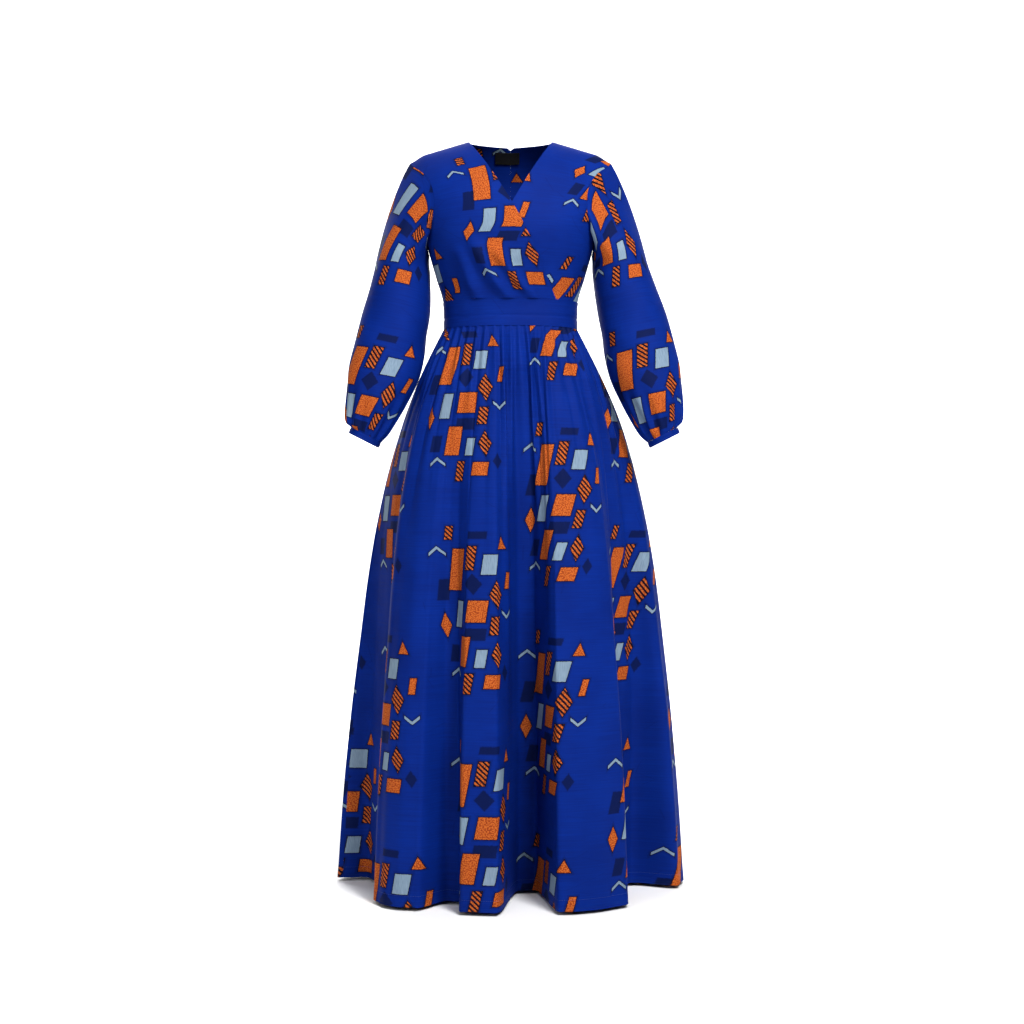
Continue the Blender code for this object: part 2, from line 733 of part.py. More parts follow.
def lay_out_gathers():
    """Turn of every gather at the waist and at the hem. Gather 0 is at the right side seam, 24 at the left one."""
    def folded_hem(turn):
        return hem_place(turn) + fold_push(turn, np.full(turn.shape, SKIRT_LENGTH))

    quarter = SKIRT_GATHERS // 4
    turns = []
    waist = []
    hem = []
    for first, last in ((-quarter, 0), (0, 2 * quarter), (2 * quarter, 3 * quarter)):
        start, end = (math.pi * (edge / (2 * quarter)) - math.pi / 2 for edge in (first, last))
        panel = np.linspace(start, end, 1201)
        turns.append(panel)
        waist.append(evenly(waist_place, panel, first, last))
        hem.append(evenly(folded_hem, panel, first, last))
    return np.concatenate(turns), np.concatenate(waist), np.concatenate(hem)


TURNS, WAIST_GATHERS, HEM_GATHERS = lay_out_gathers()


def plain_skirt(gather, drop):
    """The skirt without its gathers."""
    whole = np.floor((gather + SKIRT_GATHERS / 4) / SKIRT_GATHERS) * SKIRT_GATHERS
    waist_turn = np.interp(gather - whole, WAIST_GATHERS, TURNS)
    hem_turn = np.interp(gather - whole, HEM_GATHERS, TURNS)
    half = read(SKIRT, "drop", "half", drop)
    grown = (half - SKIRT[0].half) / (SKIRT[-1].half - SKIRT[0].half)
    place = waist_place(waist_turn) * (1 - grown)[..., None] + hem_place(hem_turn) * grown[..., None]
    place = place + fold_push(hem_turn, drop)
    place[..., 2] = WAIST - BAND_HEIGHT - drop
    return place


def skirt_outward(gather, drop):
    """Outward direction of the skirt, read over a third of a gather to each side."""
    drop = np.clip(drop, 0.01, SKIRT_LENGTH - 0.01)
    across = plain_skirt(gather + 0.3, drop) - plain_skirt(gather - 0.3, drop)
    along = plain_skirt(gather, drop - 0.01) - plain_skirt(gather, drop + 0.01)
    return unit(np.cross(across, along))


def gather_wave(gather, drop):
    """Height of the gathers, each a little different from the next."""
    number = np.round(gather)
    fading = smooth((drop - 0.10) / 0.09)
    uneven = 1 + 0.2 * np.sin(2.4 * number) + 0.1 * np.sin(4.1 * number + 1) + 0.5 * fading * np.sin(1.7 * number)
    return read(SKIRT, "drop", "gather", drop) * uneven * np.cos(2 * math.pi * gather)


def build_skirt(material):
    half_gap = SEAM_GAP / 2
    half = SKIRT_GATHERS // 2
    top = WAIST - BAND_HEIGHT
    for name, first, last in (("skirt_front", 0, half),
                              ("skirt_back_left", half, half + half // 2),
                              ("skirt_back_right", -half // 2, 0)):
        outer = []
        inner = []
        for number, row in enumerate(SKIRT):
            steps = COLUMNS_PER_GATHER if number < GATHERED_RINGS else COLUMNS_PER_GATHER // 2
            gathers = np.linspace(first, last, (last - first) * steps + 1)
            drops = np.full(gathers.shape, row.drop)
            outward = skirt_outward(gathers, drops)
            place = plain_skirt(gathers, drops) + outward * gather_wave(gathers, drops)[:, None]
            ends = gathers[[0, -1]]
            seamward = unit(plain_skirt(ends + 0.1, drops[:2]) - plain_skirt(ends - 0.1, drops[:2]))
            thin = place - outward * SKIRT_CLOTH
            for net in (place, thin):
                net[0] += seamward[0] * half_gap
                net[-1] -= seamward[1] * half_gap
                net[:, 2] = top - row.drop - (half_gap if number == 0 else 0)
            outer.append(place)
            inner.append(thin)
        cloth(name, outer, inner, material)


def build_label(material):
    """The label lies on the inner side of the backs, across the centre-back seam."""
    across = np.linspace(LABEL_LEFT, LABEL_RIGHT, LABEL_COLUMNS + 1)
    outer = []
    inner = []
    for drop in (LABEL_BELOW_NECK + LABEL_HEIGHT, LABEL_BELOW_NECK + LABEL_HEIGHT / 2, LABEL_BELOW_NECK):
        height = BACK_NECK_Z - drop
        low = np.full(across.shape, 2.0)
        high = np.full(across.shape, 3.0)
        for _ in range(SETTLING_ROUNDS):
            level = (low + high) / 2
            place = torso(level, math.pi - turn_at(level, across))
            low = np.where(place[..., 2] < height, level, low)
            high = np.where(place[..., 2] < height, high, level)
        turn = math.pi - turn_at(level, across)
        outward = unit(np.cross(torso(level, turn + STEP) - torso(level, turn - STEP),
                                torso(level + STEP, turn) - torso(level - STEP, turn)))
        clear = CLOTH + LABEL_CLEAR
        outer.append(place - outward * clear)
        inner.append(place - outward * (clear + LABEL_CLOTH))
    cloth("neck_label", outer, inner, material)


def main():
    for thing in list(bpy.data.objects):
        bpy.data.objects.remove(thing, do_unlink=True)
    cotton = finish("printed_cotton", (0.010, 0.045, 0.400), 0.62)
    sleeve_cotton = finish("sleeve_cotton", (0.010, 0.040, 0.370), 0.62)
    skirt_cotton = finish("skirt_cotton", (0.012, 0.050, 0.420), 0.62)
    black_tape = finish("label_tape", (0.008, 0.009, 0.010), 0.55)
    build_fronts(cotton)
    build_backs(cotton)
    build_sleeves(sleeve_cotton)
    build_cuffs(sleeve_cotton)
    build_waistband(cotton)
    build_skirt(skirt_cotton)
    build_label(black_tape)


main()
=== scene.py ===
"""Wrap dress: the printed cotton, gathers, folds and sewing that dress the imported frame."""
import math
from typing import NamedTuple

import bmesh
import bpy
import numpy as np
from bpy.props import FloatProperty, FloatVectorProperty, PointerProperty
from bpy.types import Operator, Panel, PropertyGroup
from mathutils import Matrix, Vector


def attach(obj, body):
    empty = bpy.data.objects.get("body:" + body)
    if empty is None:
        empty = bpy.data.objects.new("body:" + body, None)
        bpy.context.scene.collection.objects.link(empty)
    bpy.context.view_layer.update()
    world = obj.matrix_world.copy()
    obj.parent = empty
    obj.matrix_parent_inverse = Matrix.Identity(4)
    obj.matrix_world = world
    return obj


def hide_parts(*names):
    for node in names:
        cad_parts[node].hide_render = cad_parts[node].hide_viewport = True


bl_info = {
    "name": "Wrap dress",
    "version": (1, 0, 0),
    "blender": (4, 5, 0),
    "location": "View3D > Sidebar > Dress",
    "description": "Sews the visible pieces of a long wrap dress over its packed frame",
    "category": "Object",
}

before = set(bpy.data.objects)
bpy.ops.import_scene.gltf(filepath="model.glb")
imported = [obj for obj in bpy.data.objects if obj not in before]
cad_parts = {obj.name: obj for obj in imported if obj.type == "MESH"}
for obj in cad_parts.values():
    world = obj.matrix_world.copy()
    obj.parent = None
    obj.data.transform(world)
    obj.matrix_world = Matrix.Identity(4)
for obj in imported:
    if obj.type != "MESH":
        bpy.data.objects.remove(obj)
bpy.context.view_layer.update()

CLOTH = 0.0012
SKIRT_CLOTH = 0.0015
BAND_CLOTH = 0.0016
SLEEVE_CLEAR = 0.00042
SEWN_GAP = 0.00001
LAP = 0.0018
LAP_STARTS = 0.035
LAP_RISES = 0.030
STEP = 1e-4
SLEEVE_STEP = 0.03
SETTLING_ROUNDS = 30

# Heights of the bodice
RIDGE = 0.0482
YOKE = -0.060
UNDERARM = -0.200
WAIST = -0.295
BAND_HEIGHT = 0.052
BAND_CREASE = -0.327
BAND_PROUD = 0.0012
CREASE_DEPTH = 0.0011
CREASE_REACH = 0.0022
SKIRT_LENGTH = 1.078

# Shoulder and neck
TIP_X = 0.198
TIP_DROP = 0.008
TIP_ROUND = 0.032
NECK_X = 0.083
NECK_Z = 0.0240
BACK_NECK_Z = 0.0235
NOTCH_DEPTH = 0.004
NOTCH_HALF = 0.006
WRAP_FOOT_X = 0.086
TOP_BOW = 0.012
UNDER_BOW = 0.006
ROUNDNESS = 2.3
ARMHOLE_OPENS = 0.45

# Gathers
SLEEVE_GATHERS = 12
SKIRT_GATHERS = 48


class Bodice(NamedTuple):
    """One level ring of the bodice, front and back measured from its middle."""
    height: float
    half: float
    front: float
    back: float
    slope: float
    middle: float


BODICE = (
    Bodice(height=-0.347, half=0.1290, front=0.101, back=0.088, slope=0.00, middle=0.000),
    Bodice(height=-0.295, half=0.1305, front=0.098, back=0.085, slope=0.00, middle=0.000),
    Bodice(height=-0.245, half=0.1450, front=0.110, back=0.092, slope=0.00, middle=0.000),
    Bodice(height=-0.200, half=0.1580, front=0.124, back=0.101, slope=0.00, middle=0.000),
    Bodice(height=-0.150, half=0.1710, front=0.128, back=0.107, slope=0.03, middle=0.002),
    Bodice(height=-0.100, half=0.1820, front=0.118, back=0.109, slope=0.09, middle=0.006),
    Bodice(height=-0.060, half=0.1890, front=0.105, back=0.105, slope=0.15, middle=0.010),
    Bodice(height=0.000, half=0.1960, front=0.085, back=0.091, slope=0.23, middle=0.016),
    Bodice(height=0.050, half=0.2010, front=0.066, back=0.075, slope=0.293, middle=0.020),
)


class Armhole(NamedTuple):
    """How far the armhole seam is from the centre at one height."""
    height: float
    front_x: float
    back_x: float


ARMHOLE = (
    Armhole(height=-0.205, front_x=0.158, back_x=0.158),
    Armhole(height=-0.185, front_x=0.157, back_x=0.158),
    Armhole(height=-0.148, front_x=0.150, back_x=0.160),
    Armhole(height=-0.116, front_x=0.146, back_x=0.162),
    Armhole(height=-0.065, front_x=0.156, back_x=0.171),
    Armhole(height=-0.040, front_x=0.174, back_x=0.182),
    Armhole(height=-0.028, front_x=0.188, back_x=0.190),
    Armhole(height=-0.019, front_x=0.196, back_x=0.196),
    Armhole(height=-0.012, front_x=0.198, back_x=0.198),
    Armhole(height=0.010, front_x=0.198, back_x=0.198),
)


class Pleat(NamedTuple):
    """A soft ridge of the top layer, from its upper end down to the waist seam."""
    top_x: float
    top_z: float
    foot_x: float
    width: float
    rise: float


PLEATS = (
    Pleat(top_x=-0.100, top_z=-0.185, foot_x=-0.062, width=0.0115, rise=0.0090),
    Pleat(top_x=-0.078, top_z=-0.170, foot_x=-0.006, width=0.0125, rise=0.0120),
    Pleat(top_x=-0.040, top_z=-0.185, foot_x=0.042, width=0.0110, rise=0.0090),
)


class Station(NamedTuple):
    """A ring of the sleeve: x and z of its inner and outer end, its half depth, middle and gathers."""
    inner: tuple
    outer: tuple
    depth: float
    middle: float
    gather: float


SLEEVE = (
    Station((0.1565, -0.235), (0.263, -0.213), depth=0.075, middle=0.002, gather=0.0),
    Station((0.1555, -0.290), (0.274, -0.265), depth=0.072, middle=-0.004, gather=0.0),
    Station((0.1590, -0.345), (0.289, -0.318), depth=0.070, middle=-0.012, gather=0.0),
    Station((0.1665, -0.400), (0.301, -0.370), depth=0.068, middle=-0.022, gather=0.0),
    Station((0.1795, -0.448), (0.311, -0.422), depth=0.064, middle=-0.034, gather=0.0),
    Station((0.2010, -0.495), (0.314, -0.470), depth=0.056, middle=-0.046, gather=0.0015),
    Station((0.2245, -0.535), (0.3145, -0.510), depth=0.045, middle=-0.054, gather=0.0030),
    Station((0.2370, -0.555), (0.3120, -0.529), depth=0.037, middle=-0.058, gather=0.0028),
    Station((0.2480, -0.567), (0.3045, -0.5385), depth=0.031, middle=-0.060, gather=0.0010),
)
CUFF_HEIGHT = 0.012
SWING = {"left": 0.0145, "right": 0.0}
CAP_LEAVE = math.radians(58)
CAP_UNDER = math.radians(86)
CAP_SQUARE = 0.85


class Skirt(NamedTuple):
    """Half width of the skirt and height of its gathers, by the drop below the waistband."""
    drop: float
    half: float
    gather: float


SKIRT = (
    Skirt(drop=0.000, half=0.1295, gather=0.0012),
    Skirt(drop=0.016, half=0.1370, gather=0.0032),
    Skirt(drop=0.055, half=0.1565, gather=0.0046),
    Skirt(drop=0.120, half=0.1865, gather=0.0046),
    Skirt(drop=0.190, half=0.2150, gather=0.0030),
    Skirt(drop=0.270, half=0.2400, gather=0.0),
    Skirt(drop=0.360, half=0.2610, gather=0.0),
    Skirt(drop=0.470, half=0.2790, gather=0.0),
    Skirt(drop=0.600, half=0.2945, gather=0.0),
    Skirt(drop=0.740, half=0.3100, gather=0.0),
    Skirt(drop=0.900, half=0.3230, gather=0.0),
    Skirt(drop=1.078, half=0.3330, gather=0.0),
)
HEM_FRONT = 0.292
HEM_BACK = 0.205
HEM_MIDDLE = 0.040
WAIST_FRONT = 0.101
WAIST_BACK = 0.088


class Fold(NamedTuple):
    """A large fold of the skirt.

    turn is from the centre front at the hem, before and after are its reach to each side, all in degrees.
    push is how far the hem goes out (in when negative) towards aim, and begins is the drop where it starts.
    """
    turn: float
    before: float
    after: float
    push: float
    aim: float
    begins: float


FOLDS = (
    Fold(turn=-121, before=15, after=14, push=-0.034, aim=-117, begins=0.30),
    Fold(turn=-98, before=12, after=14, push=0.012, aim=-100, begins=0.35),
    Fold(turn=-66, before=30, after=17, push=-0.100, aim=-26, begins=0.10),
    Fold(turn=-40, before=9, after=9, push=0.012, aim=-40, begins=0.30),
    Fold(turn=-23, before=8, after=7.5, push=-0.078, aim=-18, begins=0.12),
    Fold(turn=8, before=12.5, after=7.5, push=-0.190, aim=3, begins=0.08),
    Fold(turn=24, before=10, after=14, push=0.006, aim=20, begins=0.30),
    Fold(turn=56, before=16, after=24, push=-0.118, aim=33, begins=0.10),
    Fold(turn=92, before=10, after=12, push=0.008, aim=93, begins=0.35),
    Fold(turn=117, before=14, after=14, push=-0.036, aim=116, begins=0.30),
    Fold(turn=145, before=13, after=12, push=-0.066, aim=147, begins=0.16),
    Fold(turn=172, before=13, after=13, push=-0.072, aim=173, begins=0.14),
    Fold(turn=-170, before=9, after=9, push=0.008, aim=-170, begins=0.40),
    Fold(turn=-150, before=14, after=14, push=-0.070, aim=-152, begins=0.15),
)

# Label behind the neck
LABEL_LEFT = -0.031
LABEL_RIGHT = 0.018
LABEL_HEIGHT = 0.020
LABEL_BELOW_NECK = 0.007
LABEL_CLOTH = 0.0008
LABEL_CLEAR = 0.0013


def smooth(amount):
    """Ease from 0 to 1."""
    amount = np.clip(amount, 0.0, 1.0)
    return amount * amount * (3.0 - 2.0 * amount)


def read(table, key, column, at):
    """Smooth curve through a table's rows: the column's value where the key column is at."""
    keys = np.array([getattr(row, key) for row in table])
    values = np.array([getattr(row, column) for row in table])
    if keys[0] > keys[-1]:
        keys = keys[::-1]
        values = values[::-1]
    slopes = np.gradient(values, keys)
    at = np.clip(np.asarray(at, dtype=float), keys[0], keys[-1])
    row = np.clip(np.searchsorted(keys, at, side="right") - 1, 0, len(keys) - 2)
    width = keys[row + 1] - keys[row]
    t = (at - keys[row]) / width
    start = values[row] * (1 + 2 * t) * (1 - t) ** 2 + slopes[row] * width * t * (1 - t) ** 2
    end = values[row + 1] * t * t * (3 - 2 * t) + slopes[row + 1] * width * t * t * (t - 1)
    return start + end


def unit(vectors):
    length = np.linalg.norm(vectors, axis=-1, keepdims=True)
    return vectors / np.maximum(length, 1e-12)


def spread(value, power):
    """A signed power, which squares up a sine or a cosine."""
    return np.sign(value) * np.abs(value) ** power


def points(x, y, z):
    x, y, z = np.broadcast_arrays(x, y, z)
    return np.stack((x, y, z), axis=-1).astype(float)


def ring_height(level):
    """Height at the centre of a bodice ring. Level 0 is the waist, 1 underarm, 2 yoke, 3 shoulder."""
    level = np.asarray(level, dtype=float)
    body = WAIST + (UNDERARM - WAIST) * np.clip(level, 0, 1)
    chest = (YOKE - UNDERARM) * np.clip(level - 1, 0, 1) ** 1.3
    roll = (RIDGE - YOKE) * np.sin(np.clip(level - 2, 0, 1) * math.pi / 2)
    return body + chest + roll


def torso(level, turn):
    """Outer surface of the bodice. turn is the angle from the centre front, positive to the left."""
    height = ring_height(level)
    rolled = np.cos(np.clip(np.asarray(level) - 2, 0, 1) * math.pi / 2)
    half = read(BODICE, "height", "half", height)
    front = read(BODICE, "height", "front", height) * rolled
    back = read(BODICE, "height", "back", height) * rolled
    across = spread(np.sin(turn), 2 / ROUNDNESS)
    along = spread(np.cos(turn), 2 / ROUNDNESS)
    x = half * across
    y = read(BODICE, "height", "middle", height) - np.where(along > 0, front, back) * along
    tip = TIP_DROP * smooth((np.abs(x) - TIP_X + TIP_ROUND) / TIP_ROUND) * (1 - rolled ** 2)
    z = height - read(BODICE, "height", "slope", height) * np.abs(x) - tip
    return points(x, y, z)


def turn_at(level, x):
    """The turn at which a bodice ring is x from the centre, on its front."""
    half = read(BODICE, "height", "half", ring_height(level))
    share = np.clip(np.abs(x) / half, 0, 1) ** (ROUNDNESS / 2)
    return np.sign(x) * np.arcsin(share)


def armhole_turn(level, column):
    """Turn of the armhole seam, or of the side seam below the underarm."""
    level = np.asarray(level, dtype=float)
    x = np.full(level.shape, TIP_X)
    for _ in range(SETTLING_ROUNDS):
        height = torso(level, turn_at(level, x))[..., 2]
        x = (x + np.minimum(read(ARMHOLE, "height", column, height), TIP_X)) / 2
    turn = turn_at(level, x)
    opened = smooth((level - 1) / ARMHOLE_OPENS)
    side = math.pi / 2
    return np.where(level <= 1, side, side + (turn - side) * np.maximum(opened, 0.0))


def wrap_edge_x(height, bow):
    """How far a front reaches past the centre line (negative while it is still on its own side)."""
    share = np.clip((NECK_Z - height) / (NECK_Z - WAIST), 0, 1)
    return -NECK_X + (NECK_X + WRAP_FOOT_X) * share + bow * np.sin(math.pi * share)


def wrap_turn(level, bow):
    """Turn of a front's wrap edge, counted positive past the centre line."""
    x = np.full(np.shape(level), -NECK_X)
    for _ in range(SETTLING_ROUNDS):
        x = wrap_edge_x(torso(level, turn_at(level, x))[..., 2], bow)
    return turn_at(level, x)


def pleat_rise(place):
    """Height of the top layer's soft pleats at a place on it."""
    rise = np.zeros(place.shape[:-1])
    for pleat in PLEATS:
        share = np.clip((pleat.top_z - place[..., 2]) / (pleat.top_z - WAIST), 0, 1)
        crest = pleat.top_x + (pleat.foot_x - pleat.top_x) * share ** 1.15
        width = pleat.width * (1.5 - 0.6 * share)
        bump = np.exp(-(((place[..., 0] - crest) / width) ** 2))
        along = smooth(share / 0.35) * (1 - 0.65 * smooth((share - 0.8) / 0.2))
        rise = rise + pleat.rise * bump * along
    return rise


def normals(surface, u, v):
    """Outward normals of a surface of two parameters, by small steps each way."""
    across = surface(u + STEP, v) - surface(u - STEP, v)
    along = surface(u, v + STEP) - surface(u, v - STEP)
    return unit(np.cross(across, along))


def front_panel(side, over):
    """Surface of a front: u runs from its own side (0) to its wrap edge (1), v is the level."""
    def surface(u, v):
        v = np.clip(v, 0, 3)
        outer = -armhole_turn(v, "front_x")
        inner = wrap_turn(v, TOP_BOW if over else UNDER_BOW)
        turn = outer + (inner - outer) * u
        place = torso(v, turn)
        if over:
            normal = unit(np.cross(torso(v, turn + STEP) - torso(v, turn - STEP),
                                   torso(np.minimum(v + STEP, 3), turn) - torso(v - STEP, turn)))
            edge = -wrap_edge_x(place[..., 2], UNDER_BOW)
            lap = LAP * smooth((place[..., 0] - edge + LAP_STARTS) / LAP_RISES)
            place = place + normal * (lap + pleat_rise(place))[..., None]
        return place * np.array((-side, 1, 1))
    return surface


def back_neck_height(x):
    """Height of the back neckline, with the small notch at the centre."""
    notch = NOTCH_DEPTH * np.clip(1 - np.abs(x) / NOTCH_HALF, 0, 1)
    return BACK_NECK_Z + (NECK_Z - BACK_NECK_Z) * smooth(np.abs(x) / NECK_X) - notch


def back_edge(level):
    return armhole_turn(level, "back_x")


def back_top_table():
    """Level at which each column of a back ends: the neckline, or the shoulder seam past the neck point."""
    u = np.linspace(0, 1, BACK_TOP_STEPS + 1)
    low = np.full(u.shape, 2.0)
    high = np.full(u.shape, 3.0)
    for _ in range(SETTLING_ROUNDS):
        middle = (low + high) / 2
        place = torso(middle, u * back_edge(middle))
        below = (place[..., 2] < back_neck_height(place[..., 0])) | (place[..., 0] > NECK_X)
        low = np.where(below, middle, low)
        high = np.where(below, high, middle)
    return u, np.where(high > 2.999, 3.0, high)


BACK_TOP_STEPS = 1500
BACK_TOP_COLUMNS, BACK_TOP_LEVELS = back_top_table()


def back_top_level(u):
    return np.interp(u, BACK_TOP_COLUMNS, BACK_TOP_LEVELS)


def back_panel(side):
    """Surface of a back: u runs from the centre back (0) to its side (1), v is the level at its side."""
    def surface(u, v):
        u = np.clip(u, 0, 1)
        v = np.clip(v, 0, 3)
        top = back_top_level(u)
        level = np.where(v <= 2, v, 2 + (v - 2) * (top - 2))
        place = torso(level, math.pi - u * back_edge(level))
        return place * np.array((side, 1, 1))
    return surface


def seam_share(way):
    """Level of the armhole seam round the sleeve: way 0 is the shoulder, 1 the underarm, 2 the shoulder."""
    from_top = 1 - np.abs(1 - np.mod(way, 2))
    return 3 - 2 * from_top


def armhole_path():
    """The armhole seam's points, worked out once."""
    way = np.linspace(0, 2, ARMHOLE_STEPS + 1)
    level = seam_share(way)
    front = torso(level, armhole_turn(level, "front_x"))
    back = torso(level, math.pi - armhole_turn(level, "back_x"))
    return way, np.where((way < 1)[..., None], front, back)


ARMHOLE_STEPS = 4000
PATH_WAYS, PATH_PLACES = armhole_path()


def armhole_point(way):
    way = np.mod(way, 2)
    return np.stack([np.interp(way, PATH_WAYS, PATH_PLACES[:, axis]) for axis in range(3)], axis=-1)


def armhole_along(way):
    """Direction of the armhole seam, read over a short piece of it."""
    return unit(armhole_point(way + SLEEVE_STEP) - armhole_point(way - SLEEVE_STEP))


def ring_angles():
    """Angle round the sleeve against the way along the armhole seam, so that both are shared out alike."""
    way = np.linspace(0, 2, RING_STEPS + 1)
    place = armhole_point(way)
    walked = np.concatenate(([0], np.cumsum(np.linalg.norm(np.diff(place, axis=0), axis=1))))
    half = walked[RING_STEPS // 2]
    return way, np.where(way <= 1, walked / half, 1 + (walked - half) / (walked[-1] - half)) * math.pi


RING_STEPS = 800
ANGLE_WAYS, ANGLES = ring_angles()


class Numbered(NamedTuple):
    number: float
    value: float


def read_station(row, value_of):
    """Smooth curve through one value of the sleeve's stations."""
    table = tuple(Numbered(number, value_of(station)) for number, station in enumerate(SLEEVE))
    return read(table, "number", "value", row)


def station_point(station, way):
    """Point of the sleeve below its cap. station counts the rows of the sleeve table."""
    angle = np.interp(np.mod(way, 2), ANGLE_WAYS, ANGLES)
    depth = read_station(station, lambda ring: ring.depth)
    centre = read_station(station, lambda ring: ring.middle)
    gather = read_station(station, lambda ring: ring.gather)
    inner = points(read_station(station, lambda ring: ring.inner[0]), centre,
                   read_station(station, lambda ring: ring.inner[1]))
    outer = points(read_station(station, lambda ring: ring.outer[0]), centre,
                   read_station(station, lambda ring: ring.outer[1]))
    middle = (inner + outer) / 2
    across = (outer - inner) / 2
    forward = points(0.0, -1.0, 0.0) * np.asarray(depth)[..., None]
    ring = middle + across * np.cos(angle)[..., None] + forward * np.sin(angle)[..., None]
    wave = gather * np.cos(angle * SLEEVE_GATHERS) * (1 + 0.3 * np.sin(3 * angle + 1))
    away = unit(ring - middle)
    return ring + away * np.asarray(wave)[..., None]


def cap_leave(way):
    """Unit direction in which the sleeve leaves the armhole seam."""
    angle = np.interp(np.mod(way, 2), ANGLE_WAYS, ANGLES)
    down = CAP_LEAVE + (CAP_UNDER - CAP_LEAVE) * (1 - np.cos(angle)) / 2
    leave = points(np.cos(down), 0.0, -np.sin(down))
    along = armhole_along(way)
    square = CAP_SQUARE * smooth(1 - np.cos(angle))[..., None]
    leave = leave - square * along * np.sum(leave * along, axis=-1, keepdims=True)
    return unit(leave)


def sleeve_surface(way, length):
    """Outer surface of a sleeve on the +X side. length 0 to 1 is the cap, then one more for each station."""
    way, length = np.broadcast_arrays(np.asarray(way, float), np.asarray(length, float))
    start = armhole_point(way)
    leave = cap_leave(way)
    end = station_point(np.zeros(way.shape), way)
    arrive = unit(station_point(np.full(way.shape, 0.5), way) - end)
    chord = np.linalg.norm(end - start, axis=-1, keepdims=True)
    t = np.clip(length, 0, 1)[..., None]
    cap = (start * (1 + 2 * t) * (1 - t) ** 2 + leave * chord * 0.75 * t * (1 - t) ** 2
           + end * t * t * (3 - 2 * t) + arrive * chord * 0.9 * t * t * (t - 1))
    below = station_point(np.clip(length - 1, 0, len(SLEEVE) - 1), way)
    return np.where((length < 1)[..., None], cap, below)


def sleeve_outward(way, length):
    """Outward direction of a sleeve, read over a short piece of its surface."""
    length = np.clip(length, SLEEVE_STEP, len(SLEEVE) - SLEEVE_STEP)
    across = sleeve_surface(way + SLEEVE_STEP, length) - sleeve_surface(way - SLEEVE_STEP, length)
    along = sleeve_surface(way, length + SLEEVE_STEP) - sleeve_surface(way, length - SLEEVE_STEP)
    return unit(np.cross(across, along))


def seam_frame(way):
    """At the armhole seam: the bodice's outward direction, and its own surface carried on past the edge."""
    level = seam_share(np.mod(way, 2))
    front = np.mod(way, 2) < 1
    turn = np.where(front, armhole_turn(level, "front_x"), math.pi - armhole_turn(level, "back_x"))
    across = torso(level, turn + STEP) - torso(level, turn - STEP)
    raised = torso(np.minimum(level + STEP, 3), turn) - torso(level - STEP, turn)
    outward = unit(np.cross(across, raised))
    along = armhole_along(way)
    onward = unit(np.cross(along, outward))
    away = points(1.0, 0.0, 0.3) * np.ones(onward.shape)
    return outward, onward * np.sign(np.sum(onward * away, axis=-1, keepdims=True))


def seam_start(ways, place, facing):
    """First ring of a sleeve, a seam's gap off the bodice, and the way its wall faces there."""
    outward, onward = seam_frame(ways)
    leave = cap_leave(ways)
    start = place + SLEEVE_CLEAR * unit(onward + leave + 0.6 * outward)
    turned = smooth((np.sum(leave * outward, axis=-1, keepdims=True) + 0.05) / 0.45)
    return start, unit(facing * turned + outward * (1 - turned))


def band_surface(turn, height):
    """Outer surface of the waistband, a little proud of the bodice, with its pressed crease."""
    half = read(BODICE, "height", "half", height)
    front = read(BODICE, "height", "front", height)
    back = read(BODICE, "height", "back", height)
    across = spread(np.sin(turn), 2 / ROUNDNESS)
    along = spread(np.cos(turn), 2 / ROUNDNESS)
    proud = BAND_PROUD - CREASE_DEPTH * np.exp(-(((height - BAND_CREASE) / CREASE_REACH) ** 2))
    return points((half + proud) * across, -(np.where(along > 0, front, back) + proud) * along, height)


def hem_place(turn):
    """Hem of the skirt as an oval, before its folds."""
    depth = np.where(np.cos(turn) > 0, HEM_FRONT, HEM_BACK)
    return points(SKIRT[-1].half * np.sin(turn), HEM_MIDDLE - depth * np.cos(turn), 0.0)


def fold_push(turn, drop):
    """How far the large folds push the skirt at a turn and a drop, as a level vector."""
    degrees = np.degrees(turn)
    pushed = np.zeros(np.broadcast(turn, drop).shape + (3,))
    for fold in FOLDS:
        off = np.mod(degrees - fold.turn + 180, 360) - 180
        share = np.abs(off) / np.where(off < 0, fold.before, fold.after)
        shape = smooth((1 - share) * 1.35)
        grown = np.clip((drop - fold.begins) / (SKIRT_LENGTH - fold.begins), 0, 1) ** 0.85
        aim = math.radians(fold.aim)
        amount = fold.push * shape * grown
        pushed = pushed + points(amount * math.sin(aim), -amount * math.cos(aim), 0.0)
    return pushed


def waist_place(turn):
    """Top of the skirt, an oval a little squared like the bodice."""
    across = spread(np.sin(turn), 2 / ROUNDNESS)
    along = spread(np.cos(turn), 2 / ROUNDNESS)
    depth = np.where(np.cos(turn) > 0, WAIST_FRONT, WAIST_BACK)
    return points(SKIRT[0].half * across, -depth * along, 0.0)


def evenly(section, turns, first, last):
    """Gather number at each turn of a panel, shared out by the length walked along its section."""
    place = section(turns)
    walked = np.concatenate(([0], np.cumsum(np.linalg.norm(np.diff(place, axis=0), axis=1))))
    return first + (last - first) * walked / walked[-1]


def lay_out_gathers():
    """Turn of every gather at waist and hem. Gather 0 is at the right side seam, 24 at the left one."""
    def folded_hem(turn):
        return hem_place(turn) + fold_push(turn, np.full(turn.shape, SKIRT_LENGTH))

    quarter = SKIRT_GATHERS // 4
    turns = []
    waist = []
    hem = []
    for first, last in ((-quarter, 0), (0, 2 * quarter), (2 * quarter, 3 * quarter)):
        start, end = (math.pi * (edge / (2 * quarter)) - math.pi / 2 for edge in (first, last))
        panel = np.linspace(start, end, SECTION_STEPS + 1)
        turns.append(panel)
        waist.append(evenly(waist_place, panel, first, last))
        hem.append(evenly(folded_hem, panel, first, last))
    return np.concatenate(turns), np.concatenate(waist), np.concatenate(hem)


SECTION_STEPS = 1200
TURNS, WAIST_GATHERS, HEM_GATHERS = lay_out_gathers()


